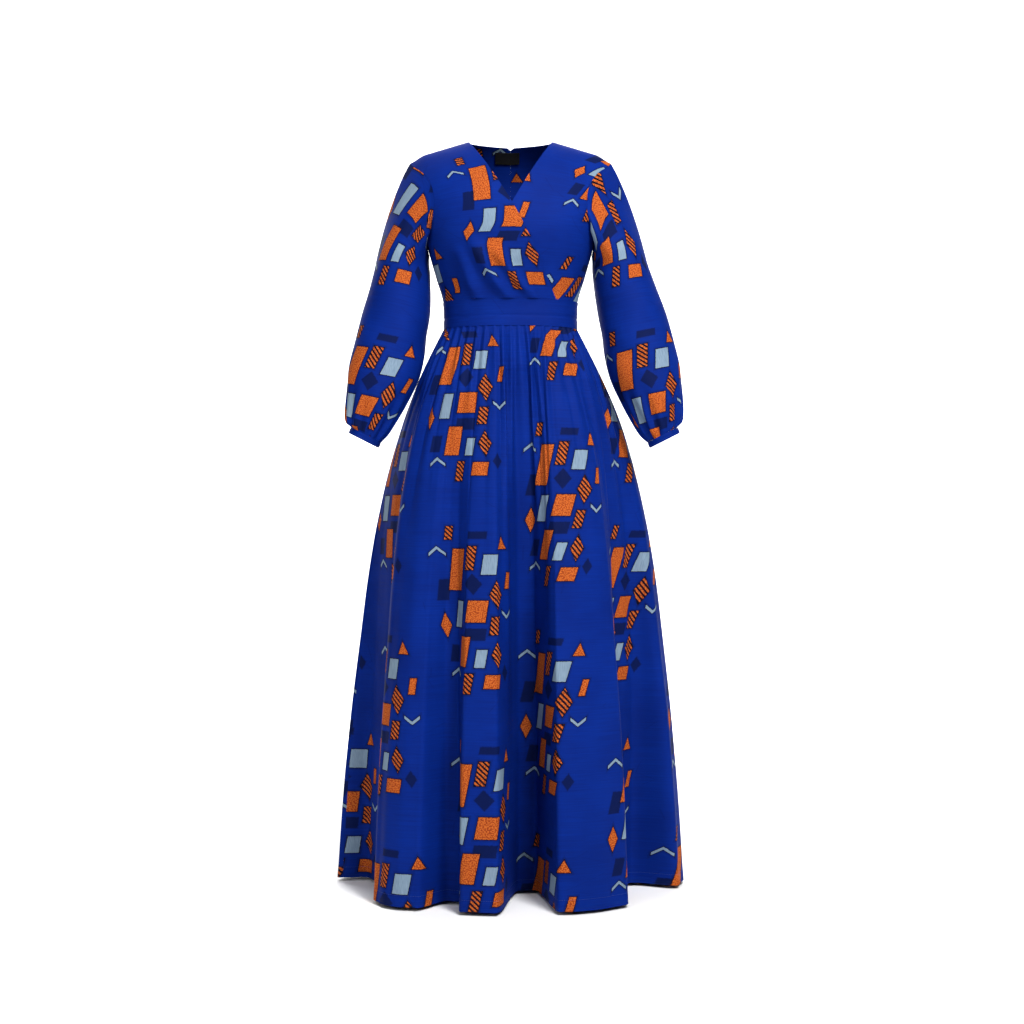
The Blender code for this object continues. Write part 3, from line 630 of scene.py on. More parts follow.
def plain_skirt(gather, drop):
    """The skirt without its gathers."""
    whole = np.floor((gather + SKIRT_GATHERS / 4) / SKIRT_GATHERS) * SKIRT_GATHERS
    waist_turn = np.interp(gather - whole, WAIST_GATHERS, TURNS)
    hem_turn = np.interp(gather - whole, HEM_GATHERS, TURNS)
    half = read(SKIRT, "drop", "half", drop)
    grown = (half - SKIRT[0].half) / (SKIRT[-1].half - SKIRT[0].half)
    place = waist_place(waist_turn) * (1 - grown)[..., None] + hem_place(hem_turn) * grown[..., None]
    place = place + fold_push(hem_turn, drop)
    place[..., 2] = WAIST - BAND_HEIGHT - drop
    return place


def skirt_outward(gather, drop):
    """Outward direction of the skirt, read over a third of a gather to each side."""
    drop = np.clip(drop, 0.01, SKIRT_LENGTH - 0.01)
    across = plain_skirt(gather + 0.3, drop) - plain_skirt(gather - 0.3, drop)
    along = plain_skirt(gather, drop - 0.01) - plain_skirt(gather, drop + 0.01)
    return unit(np.cross(across, along))


def gather_wave(gather, drop):
    """Height of the gathers, each a little different from the next."""
    number = np.round(gather)
    fading = smooth((drop - 0.10) / 0.09)
    uneven = 1 + 0.2 * np.sin(2.4 * number) + 0.1 * np.sin(4.1 * number + 1)
    uneven = uneven + 0.5 * fading * np.sin(1.7 * number)
    return read(SKIRT, "drop", "gather", drop) * uneven * np.cos(2 * math.pi * gather)


# Nets fine enough to show the cloth's own creases
FINE_BODY_ROWS = 22
FINE_ARMHOLE_ROWS = 30
FINE_ROLL_ROWS = 18
FINE_TOP_COLUMNS = 110
FINE_UNDER_COLUMNS = 64
FINE_NECK_COLUMNS = 18
FINE_SHOULDER_COLUMNS = 26
FINE_RING_COLUMNS = 144
FINE_CAP_ROWS = 18
FINE_STATION_ROWS = 7
FINE_GATHER_COLUMNS = 12
FINE_GATHER_ROWS = 40
FINE_FALL_ROWS = 43
FINE_HEM_ROWS = 10
FINE_LABEL_COLUMNS = 40
FINE_LABEL_ROWS = 16

# Relief of the cloth between its seams
SLEEVE_SWELL = 0.0012
BAND_SWELL = 0.0006
SKIRT_SWELL = 0.0042
CRIMP = 0.0006
GATHERS_END = 0.20
HEM_TURN = 0.020
HEM_LEAD = 0.006
HEM_PROUD = 0.0004
HEM_EASE = 0.003
HEM_DENT = 0.0005
DENT_REACH = 0.0016
UV_NAME = "Cut"


class Tuck(NamedTuple):
    """A soft crease of a sleeve: where it starts, how far it drifts, its reach and its depth."""
    way: float
    length: float
    drift: float
    reach: float
    width: float
    depth: float


TUCKS = (
    Tuck(way=0.30, length=0.75, drift=-0.10, reach=0.9, width=0.16, depth=-0.0022),
    Tuck(way=0.62, length=0.50, drift=-0.25, reach=0.8, width=0.12, depth=-0.0030),
    Tuck(way=0.80, length=0.80, drift=-0.30, reach=1.0, width=0.12, depth=-0.0026),
    Tuck(way=0.45, length=3.30, drift=0.22, reach=1.2, width=0.18, depth=-0.0030),
    Tuck(way=0.90, length=3.60, drift=-0.35, reach=1.3, width=0.16, depth=-0.0032),
    Tuck(way=0.60, length=4.70, drift=-0.18, reach=1.0, width=0.13, depth=-0.0024),
    Tuck(way=0.25, length=5.20, drift=0.10, reach=1.6, width=0.14, depth=0.0022),
    Tuck(way=1.35, length=3.10, drift=-0.20, reach=1.2, width=0.17, depth=-0.0030),
    Tuck(way=1.60, length=4.60, drift=0.15, reach=1.4, width=0.15, depth=-0.0026),
    Tuck(way=1.20, length=5.40, drift=0.12, reach=1.3, width=0.13, depth=0.0022),
)


def ripple(first, second, seed):
    """A slow uneven swell between -1 and 1, the same at each run."""
    total = np.zeros(np.broadcast(first, second).shape)
    for turn in range(4):
        along = 1.0 + 0.63 * turn
        slant = math.sin(seed * 1.7 + turn * 2.1)
        total = total + np.sin(along * (first + slant * second) + seed * 2.3 + turn * 1.9) / (1 + 0.6 * turn)
    return total / 2.4


def walked(net, axis):
    """Length walked over a net along one of its axes, starting from nothing."""
    steps = np.linalg.norm(np.diff(net, axis=axis), axis=-1)
    total = np.cumsum(steps, axis=axis)
    return np.concatenate((np.zeros_like(np.take(total, [0], axis=axis)), total), axis=axis)


def cut_of(net, zero_column=0):
    """Places on the flat cloth, in metres: across from one column, down from the first row."""
    across = walked(net, 1)
    across = across - across[:, zero_column][:, None]
    down = np.broadcast_to(walked(net, 0).mean(axis=1)[:, None], across.shape)
    return np.stack((across, down), axis=-1)


def wall(name, outer, inner, cut, closed):
    """A closed wall of cloth between two nets, with its place on the flat cloth as UVs in metres."""
    rows, columns = outer.shape[:2]
    count = rows * columns
    numbers = np.arange(count).reshape(rows, columns)
    flat = np.arange(cut.shape[0] * cut.shape[1]).reshape(cut.shape[:2])
    if closed:
        numbers = np.concatenate((numbers, numbers[:, :1]), axis=1)
    ring = [numbers[:-1, :-1], numbers[:-1, 1:], numbers[1:, 1:], numbers[1:, :-1]]
    seat = [flat[:-1, :-1], flat[:-1, 1:], flat[1:, 1:], flat[1:, :-1]]
    outside = np.stack(ring, axis=-1).reshape(-1, 4)
    outside_cut = np.stack(seat, axis=-1).reshape(-1, 4)
    faces = [outside, outside[:, ::-1] + count]
    seats = [outside_cut, outside_cut[:, ::-1]]
    rims = [(numbers[0][::-1], flat[0][::-1]), (numbers[-1], flat[-1])]
    if not closed:
        rims.append((numbers[:, 0], flat[:, 0]))
        rims.append((numbers[:, -1][::-1], flat[:, -1][::-1]))
    for edge, edge_cut in rims:
        faces.append(np.stack((edge[:-1], edge[1:], edge[1:] + count, edge[:-1] + count), axis=-1))
        seats.append(np.stack((edge_cut[:-1], edge_cut[1:], edge_cut[1:], edge_cut[:-1]), axis=-1))
    faces = np.concatenate(faces)
    seats = np.concatenate(seats)
    mesh = bpy.data.meshes.new(name)
    places = np.concatenate((outer.reshape(-1, 3), inner.reshape(-1, 3)))
    mesh.from_pydata(places.tolist(), [], faces.tolist())
    layer = mesh.uv_layers.new(name=UV_NAME)
    layer.data.foreach_set("uv", cut.reshape(-1, 2)[seats.ravel()].ravel())
    turned = bmesh.new()
    turned.from_mesh(mesh)
    bmesh.ops.recalc_face_normals(turned, faces=turned.faces)
    turned.to_mesh(mesh)
    turned.free()
    mesh.shade_smooth()
    mesh.set_sharp_from_angle(angle=math.radians(60))
    piece = bpy.data.objects.new(name, mesh)
    bpy.context.scene.collection.objects.link(piece)
    return piece


def fine_grid(surface, columns, rows, thickness, facing):
    """Outer and inner net of a surface and the way it faces."""
    u, v = np.meshgrid(columns, rows)
    outer = surface(u, v)
    wide = np.clip(u, columns[0] + STEP, columns[-1] - STEP)
    low = np.clip(v, rows[0] + STEP, rows[-1] - STEP)
    outward = facing * normals(surface, wide, low)
    return outer, outer - thickness * outward, outward


def sew_on(node, nets, cut, material, closed=False, ending="cloth"):
    """Makes the wall of a piece, gives it its cloth and lets it stand for its node."""
    piece = wall(f"{node}_{ending}", *nets, cut, closed)
    piece.data.materials.append(dress_material(material))
    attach(piece, "root")
    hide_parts(node)
    surface = bmesh.new()
    surface.from_mesh(piece.data)
    area = sum(face.calc_area() for face in surface.faces) / 2
    surface.free()
    flat = cut.reshape(-1, 2)
    width, length = flat.max(axis=0) - flat.min(axis=0)
    min(area, 0.995 * float(width * length))


NETS = {}


class Wire:
    """A socket of a node tree whose maths is written as Python expressions."""

    def __init__(self, tree, socket):
        self.tree = tree
        self.socket = socket

    def maths(self, operation, *others):
        made = self.tree.nodes.new("ShaderNodeMath")
        made.operation = operation
        for socket, value in zip(made.inputs, (self,) + others):
            feed(self.tree, socket, value)
        return Wire(self.tree, made.outputs[0])

    def __add__(self, other):
        return self.maths("ADD", other)

    __radd__ = __add__

    def __sub__(self, other):
        return self.maths("SUBTRACT", other)

    def __rsub__(self, other):
        return (self * -1.0) + other

    def __mul__(self, other):
        return self.maths("MULTIPLY", other)

    __rmul__ = __mul__

    def __neg__(self):
        return self * -1.0

    def size(self):
        return self.maths("ABSOLUTE")

    def least(self, other):
        return self.maths("MINIMUM", other)

    def most(self, other):
        return self.maths("MAXIMUM", other)

    def above(self, edge):
        return self.maths("GREATER_THAN", edge)

    def below(self, edge):
        return self.maths("LESS_THAN", edge)

    def wave(self):
        return self.maths("SINE")

    def within(self, most, least):
        return self.maths("WRAP", most, least)


def feed(tree, socket, value):
    """Links a wire to a socket, or sets the socket's value."""
    if isinstance(value, Wire):
        tree.links.new(value.socket, socket)
    elif value is not None:
        socket.default_value = value


def add_node(tree, kind, settings=None, **inputs):
    """A node: its settings first, then values or links of its sockets."""
    made = tree.nodes.new(kind)
    for name, value in (settings or {}).items():
        setattr(made, name, value)
    for name, value in inputs.items():
        feed(tree, made.inputs[name.replace("_", " ")], value)
    return made


def wire(tree, node, output):
    return Wire(tree, node.outputs[output])


def blend_colours(tree, share, first, second):
    """First colour where share is 0, second where it is 1."""
    made = tree.nodes.new("ShaderNodeMix")
    made.data_type = "RGBA"
    feed(tree, made.inputs[0], share)
    for socket, value in ((made.inputs[6], first), (made.inputs[7], second)):
        feed(tree, socket, value if isinstance(value, Wire) else (*value, 1.0))
    return Wire(tree, made.outputs[2])


class Motif(NamedTuple):
    """A shape of the print: kind, filling, place in the repeat, size, and turn in degrees."""
    shape: str
    filling: str
    across: float
    down: float
    width: float
    height: float
    turn: float = 0


REPEAT_WIDTH = 0.232
REPEAT_HEIGHT = 0.392
MOTIFS = (
    Motif("slant", "orange", across=-0.034, down=0.078, width=0.032, height=0.077),
    Motif("slant", "striped", across=0.006, down=0.100, width=0.019, height=0.044),
    Motif("slant", "pale", across=0.042, down=0.088, width=0.028, height=0.037),
    Motif("lozenge", "shadow", across=0.008, down=0.052, width=0.035, height=0.040),
    Motif("chevron", "pale", across=-0.072, down=0.112, width=0.032, height=0.012),
    Motif("lozenge", "striped", across=0.052, down=0.032, width=0.030, height=0.053),
    Motif("slant", "orange", across=0.012, down=0.002, width=0.037, height=0.040),
    Motif("slant", "pale", across=-0.036, down=-0.004, width=0.023, height=0.049),
    Motif("slant", "shadow", across=-0.068, down=0.040, width=0.023, height=0.040),
    Motif("lozenge", "orange", across=-0.072, down=-0.026, width=0.021, height=0.046),
    Motif("slant", "striped", across=0.044, down=-0.024, width=0.018, height=0.033),
    Motif("chevron", "pale", across=0.080, down=-0.004, width=0.028, height=0.012, turn=180),
    Motif("slant", "shadow", across=0.006, down=-0.040, width=0.040, height=0.023),
    Motif("slant", "orange", across=-0.022, down=-0.072, width=0.028, height=0.055),
    Motif("slant", "pale", across=0.014, down=-0.084, width=0.019, height=0.033),
    Motif("lozenge", "striped", across=0.046, down=-0.078, width=0.026, height=0.048),
    Motif("slant", "shadow", across=-0.058, down=-0.078, width=0.021, height=0.032),
    Motif("chevron", "pale", across=-0.056, down=-0.112, width=0.030, height=0.012),
    Motif("slant", "orange", across=0.034, down=-0.126, width=0.032, height=0.025),
    Motif("slant", "striped", across=-0.012, down=-0.130, width=0.016, height=0.037),
    Motif("lozenge", "shadow", across=0.070, down=-0.112, width=0.021, height=0.032),
    Motif("slant", "striped", across=-0.046, down=0.146, width=0.014, height=0.025),
    Motif("slant", "shadow", across=0.022, down=0.142, width=0.037, height=0.014),
    Motif("triangle", "orange", across=0.072, down=0.128, width=0.023, height=0.023),
    Motif("slant", "orange", across=0.086, down=0.058, width=0.012, height=0.030),
)
FILLINGS = ("orange", "striped", "pale", "shadow")
INK_EDGE = 0.0013
HALO_EDGE = 0.0042
LEAN = 0.22
CHEVRON_BEND = 0.8

# How the dyes lie on the cloth
INK_WOBBLE = 0.0012
SHADOW_WOBBLE = 0.0016
SHADOW_SHARPNESS = 420.0
SHADOW_SHOWS = 0.86
HALO_SHOWS = 0.30
DYE_EDGE = -0.0002
DOT_EDGE = 0.44
DOT_SHOWS = 0.95
STRIPE_HALF = 0.0034
STRIPE_EDGE = -0.0001
CRACK_WIDTH = 0.010
CRACK_PATCHES = 0.56
CRACK_SHOWS = 0.22

# Relief and gloss of the cloth in its material
THREAD_RELIEF = 0.00006
GRAIN_RELIEF = 0.00008
SLUB_RELIEF = 0.00012
CRUMPLE_RELIEF = 0.0012
WRINKLE_RELIEF = 0.0030
SLUB_ROUGHNESS = 0.16
GRAIN_ROUGHNESS = 0.10
INK_ROUGHNESS = 0.06
SHINE = 0.05


def shape_edge(shape, x, y, width, height):
    """Distance from a shape's edge, negative inside it."""
    half_width = width / 2
    half_height = height / 2
    if shape == "lozenge":
        scale = half_width * half_height / math.hypot(half_width, half_height)
        return (x.size() * (scale / half_width) + y.size() * (scale / half_height)) - scale
    if shape == "triangle":
        slope = math.hypot(height, half_width)
        side = x.size() * (height / slope) + (y - half_height) * (half_width / slope)
        return side.most(-y - half_height)
    if shape == "slant":
        leaning = (x - y * LEAN).size() - half_width
        return leaning.most(y.size() - half_height)
    bend = (y + x.size() * CHEVRON_BEND - half_width * CHEVRON_BEND / 2).size() - half_height / 2
    return bend.most(x.size() - half_width)


def wax_print(across, down):
    """How far a place on the flat cloth is from the print's shapes, for each filling."""
    column = across.within(REPEAT_WIDTH / 2, -REPEAT_WIDTH / 2)
    drop = down + (across - column) * (REPEAT_HEIGHT / 2 / REPEAT_WIDTH)
    row = drop.within(REPEAT_HEIGHT / 2, -REPEAT_HEIGHT / 2)
    edges = {filling: None for filling in FILLINGS}
    for motif in MOTIFS:
        x = column - motif.across
        y = row - motif.down
        if motif.turn:
            cosine = math.cos(math.radians(motif.turn))
            sine = math.sin(math.radians(motif.turn))
            x, y = x * cosine + y * sine, y * cosine - x * sine
        edge = shape_edge(motif.shape, x, y, motif.width, motif.height)
        known = edges[motif.filling]
        edges[motif.filling] = edge if known is None else known.least(edge)
    return edges


def printed_cotton(name, sizes, colours):
    """Printed plain-weave cotton: a blue ground with slubs and fine crackle, and small geometric shapes."""
    material = bpy.data.materials.new(name)
    material.use_nodes = True
    tree = material.node_tree
    tree.nodes.clear()
    uv = add_node(tree, "ShaderNodeUVMap", {"uv_map": UV_NAME})
    flat = wire(tree, uv, "UV")
    apart = add_node(tree, "ShaderNodeSeparateXYZ", Vector=flat)
    across = wire(tree, apart, "X")
    down = wire(tree, apart, "Y")
    unsteady_ink = add_node(tree, "ShaderNodeTexNoise", {"noise_dimensions": "2D"}, Vector=flat,
                            Scale=260.0, Detail=1.0)
    wobble = wire(tree, unsteady_ink, "Fac")
    unsteady = (wobble - 0.5) * INK_WOBBLE

    def noise(scale, detail, stretch=(1, 1, 1), rough=0.5):
        mapped = wire(tree, add_node(tree, "ShaderNodeMapping", Vector=flat, Scale=stretch), "Vector")
        made = add_node(tree, "ShaderNodeTexNoise", {"noise_dimensions": "2D"}, Vector=mapped, Scale=scale,
                        Detail=detail, Roughness=rough)
        return wire(tree, made, "Fac")

    slub = noise(42.0, 3.0, (0.35, 9.0, 1))
    grain = noise(900.0, 2.0)
    cloud = noise(7.0, 3.0)
    drawn_out = wire(tree, add_node(tree, "ShaderNodeMapping", Vector=flat, Scale=(0.9, 2.6, 1)), "Vector")
    edge_distance = {"voronoi_dimensions": "2D", "feature": "DISTANCE_TO_EDGE"}
    cells = add_node(tree, "ShaderNodeTexVoronoi", edge_distance, Vector=drawn_out, Scale=9.0,
                     Randomness=1.0)
    crackle = wire(tree, cells, "Distance").below(CRACK_WIDTH) * noise(11.0, 2.0).above(CRACK_PATCHES)
    fade = (cloud - 0.3) * 1.3 + (slub - 0.5) * 0.9
    ground = blend_colours(tree, fade, colours.ground_deep, colours.ground)
    ground = blend_colours(tree, crackle * CRACK_SHOWS, ground, colours.ground_crack)
    stipple = wire(tree, add_node(tree, "ShaderNodeTexVoronoi", {"voronoi_dimensions": "2D"}, Vector=flat,
                                  Scale=400.0), "Distance")
    orange = blend_colours(tree, stipple.above(DOT_EDGE) * DOT_SHOWS, colours.orange, colours.orange_deep)
    streak = noise(120.0, 2.0, (5.0, 0.5, 1))
    pale = blend_colours(tree, (streak - 0.35) * 1.6, colours.pale_deep, colours.pale)
    diagonal = (across * 0.72 + down * 0.69).within(STRIPE_HALF, -STRIPE_HALF)
    striped = blend_colours(tree, (diagonal + unsteady).above(STRIPE_EDGE), colours.ink, orange)
    colour = ground
    inked = 0.0
    if name not in PLAIN_CUTS:
        edges = wax_print(across + unsteady, down + unsteady)
        soft = edges["shadow"] + (wobble - 0.5) * SHADOW_WOBBLE
        shade = (0.5 - soft * SHADOW_SHARPNESS).most(0.0).least(1.0)
        colour = blend_colours(tree, shade * SHADOW_SHOWS, colour, colours.shadow)
        nearest = edges["orange"].least(edges["striped"]).least(edges["pale"])
        halo = nearest.below(HALO_EDGE) * nearest.above(INK_EDGE) * HALO_SHOWS
        colour = blend_colours(tree, halo, colour, colours.shadow)
        colour = blend_colours(tree, nearest.below(INK_EDGE), colour, colours.ink)
        for filling, dye in (("orange", orange), ("striped", striped), ("pale", pale)):
            colour = blend_colours(tree, edges[filling].below(DYE_EDGE), colour, dye)
        inked = nearest.below(0.0) * INK_ROUGHNESS
    weave = 2 * math.pi / sizes.thread_pitch
    thread = (across * weave).wave() * (down * weave).wave()
    crumple = noise(16.0, 4.0, (1.0, 0.7, 1), 0.55)
    wrinkle = noise(5.5, 3.0, (1.0, 0.45, 1), 0.5)
    height = (thread * THREAD_RELIEF + grain * GRAIN_RELIEF + slub * SLUB_RELIEF
              + crumple * CRUMPLE_RELIEF + wrinkle * WRINKLE_RELIEF)
    bump = add_node(tree, "ShaderNodeBump", Strength=sizes.crumple, Distance=1.0, Height=height)
    rough = (slub - 0.5) * SLUB_ROUGHNESS + (grain - 0.5) * GRAIN_ROUGHNESS + inked + sizes.roughness
    shader = add_node(tree, "ShaderNodeBsdfPrincipled", Base_Color=colour, Roughness=rough,
                      Normal=wire(tree, bump, "Normal"))
    shader.inputs["Specular IOR Level"].default_value = SHINE
    out = tree.nodes.new("ShaderNodeOutputMaterial")
    tree.links.new(shader.outputs[0], out.inputs[0])
    return material


def plain_material(name, colour, roughness, scale, depth):
    """A tape or a thread: one dye with fine ribs."""
    material = bpy.data.materials.new(name)
    material.use_nodes = True
    tree = material.node_tree
    tree.nodes.clear()
    place = wire(tree, tree.nodes.new("ShaderNodeTexCoord"), "Object")
    twill = add_node(tree, "ShaderNodeTexWave", {"wave_type": "BANDS", "bands_direction": "DIAGONAL"},
                     Vector=place, Scale=scale, Distortion=0.6)
    ribs = wire(tree, twill, "Fac")
    patches = add_node(tree, "ShaderNodeTexNoise", Vector=place, Scale=scale * 0.2, Detail=3.0)
    mottle = wire(tree, patches, "Fac")
    dark = tuple(value * 0.55 for value in colour)
    dye = blend_colours(tree, ribs * 0.5 + mottle * 0.5, dark, tuple(colour))
    bump = add_node(tree, "ShaderNodeBump", Strength=0.5, Distance=1.0, Height=ribs * depth)
    shader = add_node(tree, "ShaderNodeBsdfPrincipled", Base_Color=dye, Roughness=mottle * 0.1 + roughness,
                      Normal=wire(tree, bump, "Normal"))
    out = tree.nodes.new("ShaderNodeOutputMaterial")
    tree.links.new(shader.outputs[0], out.inputs[0])
    return material


def colour_property(label, words, value):
    return FloatVectorProperty(name=label, description=words, subtype="COLOR", size=3, min=0, max=1,
                               default=value)


class DressSizes(PropertyGroup):
    """Sizes of the cloth and its sewing."""
    stitch_pitch: FloatProperty(name="Stitch pitch", description="Distance from one stitch to the next",
                                default=0.0034, unit="LENGTH")
    stitch_length: FloatProperty(name="Stitch length", description="Length of a stitch that shows",
                                 default=0.0024, unit="LENGTH")
    stitch_width: FloatProperty(name="Thread width", description="Width of the sewing thread",
                                default=0.0006, unit="LENGTH")
    thread_pitch: FloatProperty(name="Weave", description="Distance between the cloth's threads",
                                default=0.0009, unit="LENGTH")
    crumple: FloatProperty(name="Crumple", description="How much the cloth's small creases show",
                           default=0.35)
    roughness: FloatProperty(name="Roughness", description="How matt the cloth is", default=0.70)
    gather_depth: FloatProperty(name="Gather depth", default=0.7,
                                description="Height of the waist gathers against the frame's")


class DressColours(PropertyGroup):
    """Dyes of the print, the thread and the label."""
    ground: colour_property("Ground", "Royal blue ground", (0.0010, 0.0210, 0.2250))
    ground_deep: colour_property("Deep ground", "Ground where the dye is strong", (0.0008, 0.0125, 0.1450))
    ground_crack: colour_property("Crackle", "Fine dark lines in the ground", (0.0010, 0.0050, 0.0650))
    orange: colour_property("Orange", "Bright dots of the orange shapes", (0.4700, 0.1050, 0.0180))
    orange_deep: colour_property("Deep orange", "Dark dots of the orange shapes", (0.2300, 0.0360, 0.0090))
    pale: colour_property("Pale", "Pale grey-blue shapes", (0.2300, 0.3150, 0.4000))
    pale_deep: colour_property("Deep pale", "Streaks in the pale shapes", (0.1500, 0.2150, 0.2900))
    shadow: colour_property("Shadow", "Navy shapes behind the others", (0.0015, 0.0050, 0.0350))
    ink: colour_property("Ink", "Outlines and stripes", (0.0030, 0.0030, 0.0100))
    thread: colour_property("Thread", "Sewing thread", (0.0010, 0.0200, 0.2100))
    tape: colour_property("Tape", "Label tape", (0.0060, 0.0060, 0.0070))


MATERIALS = {}


def dress_material(name):
    """The material of a slot, made once."""
    if name not in MATERIALS:
        sizes = bpy.context.scene.dress_sizes
        colours = bpy.context.scene.dress_colours
        if name == "label_tape":
            MATERIALS[name] = plain_material(name, colours.tape, 0.5, 900.0, 0.0002)
        elif name == "thread":
            MATERIALS[name] = plain_material(name, colours.thread, 0.5, 1400.0, 0.0001)
        else:
            MATERIALS[name] = printed_cotton(name, sizes, colours)
    return MATERIALS[name]


PLAIN_CUTS = ("band_cotton",)


def fine_levels():
    body = np.linspace(0, 1, FINE_BODY_ROWS + 1)
    chest = np.linspace(1, 2, FINE_ARMHOLE_ROWS + 1)[1:]
    roll = np.linspace(2, 3, FINE_ROLL_ROWS + 1)[1:]
    return np.concatenate((body, chest, roll))


class DRESS_OT_fronts(Operator):
    """Sews the two crossed fronts, with the top layer's soft pleats"""
    bl_idname = "dress.fronts"
    bl_label = "Crossed fronts"

    def execute(self, context):
        half_gap = SEWN_GAP / 2
        levels = fine_levels()
        for name, side, over, count in (("bodice_front_right", -1, True, FINE_TOP_COLUMNS),
                                        ("bodice_front_left", 1, False, FINE_UNDER_COLUMNS)):
            surface = front_panel(side, over)
            outer, inner, _ = fine_grid(surface, np.linspace(0, 1, count + 1), levels, CLOTH, -side)
            for net in (outer, inner):
                net[-1, :, 1] -= half_gap
                net[:FINE_BODY_ROWS + 1, 0, 1] -= half_gap
                net[0, :, 2] = WAIST + half_gap
            zero = int(np.argmin(np.abs(outer[0, :, 0])))
            cut = cut_of(outer, zero)
            cut = cut * np.array((-side, 1)) + np.array(BODICE_SHIFT[name])
            sew_on(name, (outer, inner), cut, "printed_cotton")
        return {"FINISHED"}


BODICE_SHIFT = {
    "bodice_front_right": (-0.047, -0.167),
    "bodice_front_left": (-0.115, 0.070),
    "bodice_back_left": (0.085, -0.150),
    "bodice_back_right": (-0.080, -0.060),
}


class DRESS_OT_backs(Operator):
    """Sews the two backs, joined at the centre back under the small neck notch"""
    bl_idname = "dress.backs"
    bl_label = "Backs"

    def execute(self, context):
        half_gap = SEWN_GAP / 2
        levels = fine_levels()
        neck = float(turn_at(3.0, NECK_X) / back_edge(3.0))
        columns = np.concatenate((np.linspace(0, neck, FINE_NECK_COLUMNS + 1),
                                  np.linspace(neck, 1, FINE_SHOULDER_COLUMNS + 1)[1:]))
        for name, side in (("bodice_back_left", 1), ("bodice_back_right", -1)):
            outer, inner, _ = fine_grid(back_panel(side), columns, levels, CLOTH, -side)
            for net in (outer, inner):
                net[-1, FINE_NECK_COLUMNS:, 1] += half_gap
                net[:FINE_BODY_ROWS + 1, -1, 1] += half_gap
                net[:, 0, 0] = side * half_gap
                net[0, :, 2] = WAIST + half_gap
            cut = cut_of(outer) * np.array((-side, 1)) + np.array(BODICE_SHIFT[name])
            sew_on(name, (outer, inner), cut, "printed_cotton")
        return {"FINISHED"}


def sleeve_creases(way, length, seed):
    """Height of a sleeve's soft creases and the slow swell of its cloth."""
    rise = np.zeros(np.broadcast(way, length).shape)
    for tuck in TUCKS:
        along = (length - tuck.length) / tuck.reach
        off = np.mod(way - tuck.way - tuck.drift * along + 1, 2) - 1
        rise = rise + tuck.depth * np.exp(-((off / tuck.width) ** 2) - (along * 1.6) ** 2)
    fading = smooth(length / 0.8) * smooth((len(SLEEVE) - length) / 0.6)
    return (rise + SLEEVE_SWELL * ripple(way * 3.1, length * 1.1, seed)) * fading


class DRESS_OT_sleeves(Operator):
    """Sews the long sleeves with their creases and the gathers above the cuffs"""
    bl_idname = "dress.sleeves"
    bl_label = "Sleeves"

    def execute(self, context):
        stations = len(SLEEVE)
        ways = np.linspace(0, 2, FINE_RING_COLUMNS + 1)[:-1]
        lengths = np.concatenate((np.linspace(0, 1, FINE_CAP_ROWS + 1) ** 1.25,
                                  np.linspace(1, stations, (stations - 1) * FINE_STATION_ROWS + 1)[1:]))
        for name, side, seed in (("left", 1, 1.0), ("right", -1, 4.0)):
            outer = []
            inner = []
            for length in lengths:
                here = np.full(ways.shape, length)
                place = sleeve_surface(ways, here)
                facing = sleeve_outward(ways, here)
                if length == 0:
                    place, facing = seam_start(ways, place, facing)
                place = place + facing * sleeve_creases(ways, here, seed)[:, None]
                place = place + np.array((SWING[name] * smooth(length / 3), 0, 0))
                outer.append(place * np.array((side, 1, 1)))
                inner.append((place - CLOTH * facing) * np.array((side, 1, 1)))
            outer = np.array(outer)
            inner = np.array(inner)
            angle = np.concatenate((np.interp(ways, ANGLE_WAYS, ANGLES), [2 * math.pi]))
            down = walked(outer, 0).mean(axis=1)
            across = -side * angle * SLEEVE_CUT / (2 * math.pi)
            cut = np.stack(np.broadcast_arrays(across[None, :], -down[:, None]), axis=-1)
            cut = cut + np.array(SLEEVE_SHIFT[name])
            sew_on(f"sleeve_{name}", (outer, inner), cut, "sleeve_cotton",
                   closed=True)
        return {"FINISHED"}


SLEEVE_CUT = 0.40
SLEEVE_SHIFT = {"left": (0.108, 0.036), "right": (-0.075, 0.041)}
CUFF_SHIFT = {"left": (0.05, 0.196), "right": (-0.05, 0.196)}
CUFF_ROWS = 6
CUFF_COLUMNS = 96
CUFF_STITCH_SHARE = 0.72
CUFF_GAP = SEWN_GAP * 4
CUFF_SWELL = 0.0009
CUFF_PROUD = 0.0002
CUFF_UNEVEN = 0.0003


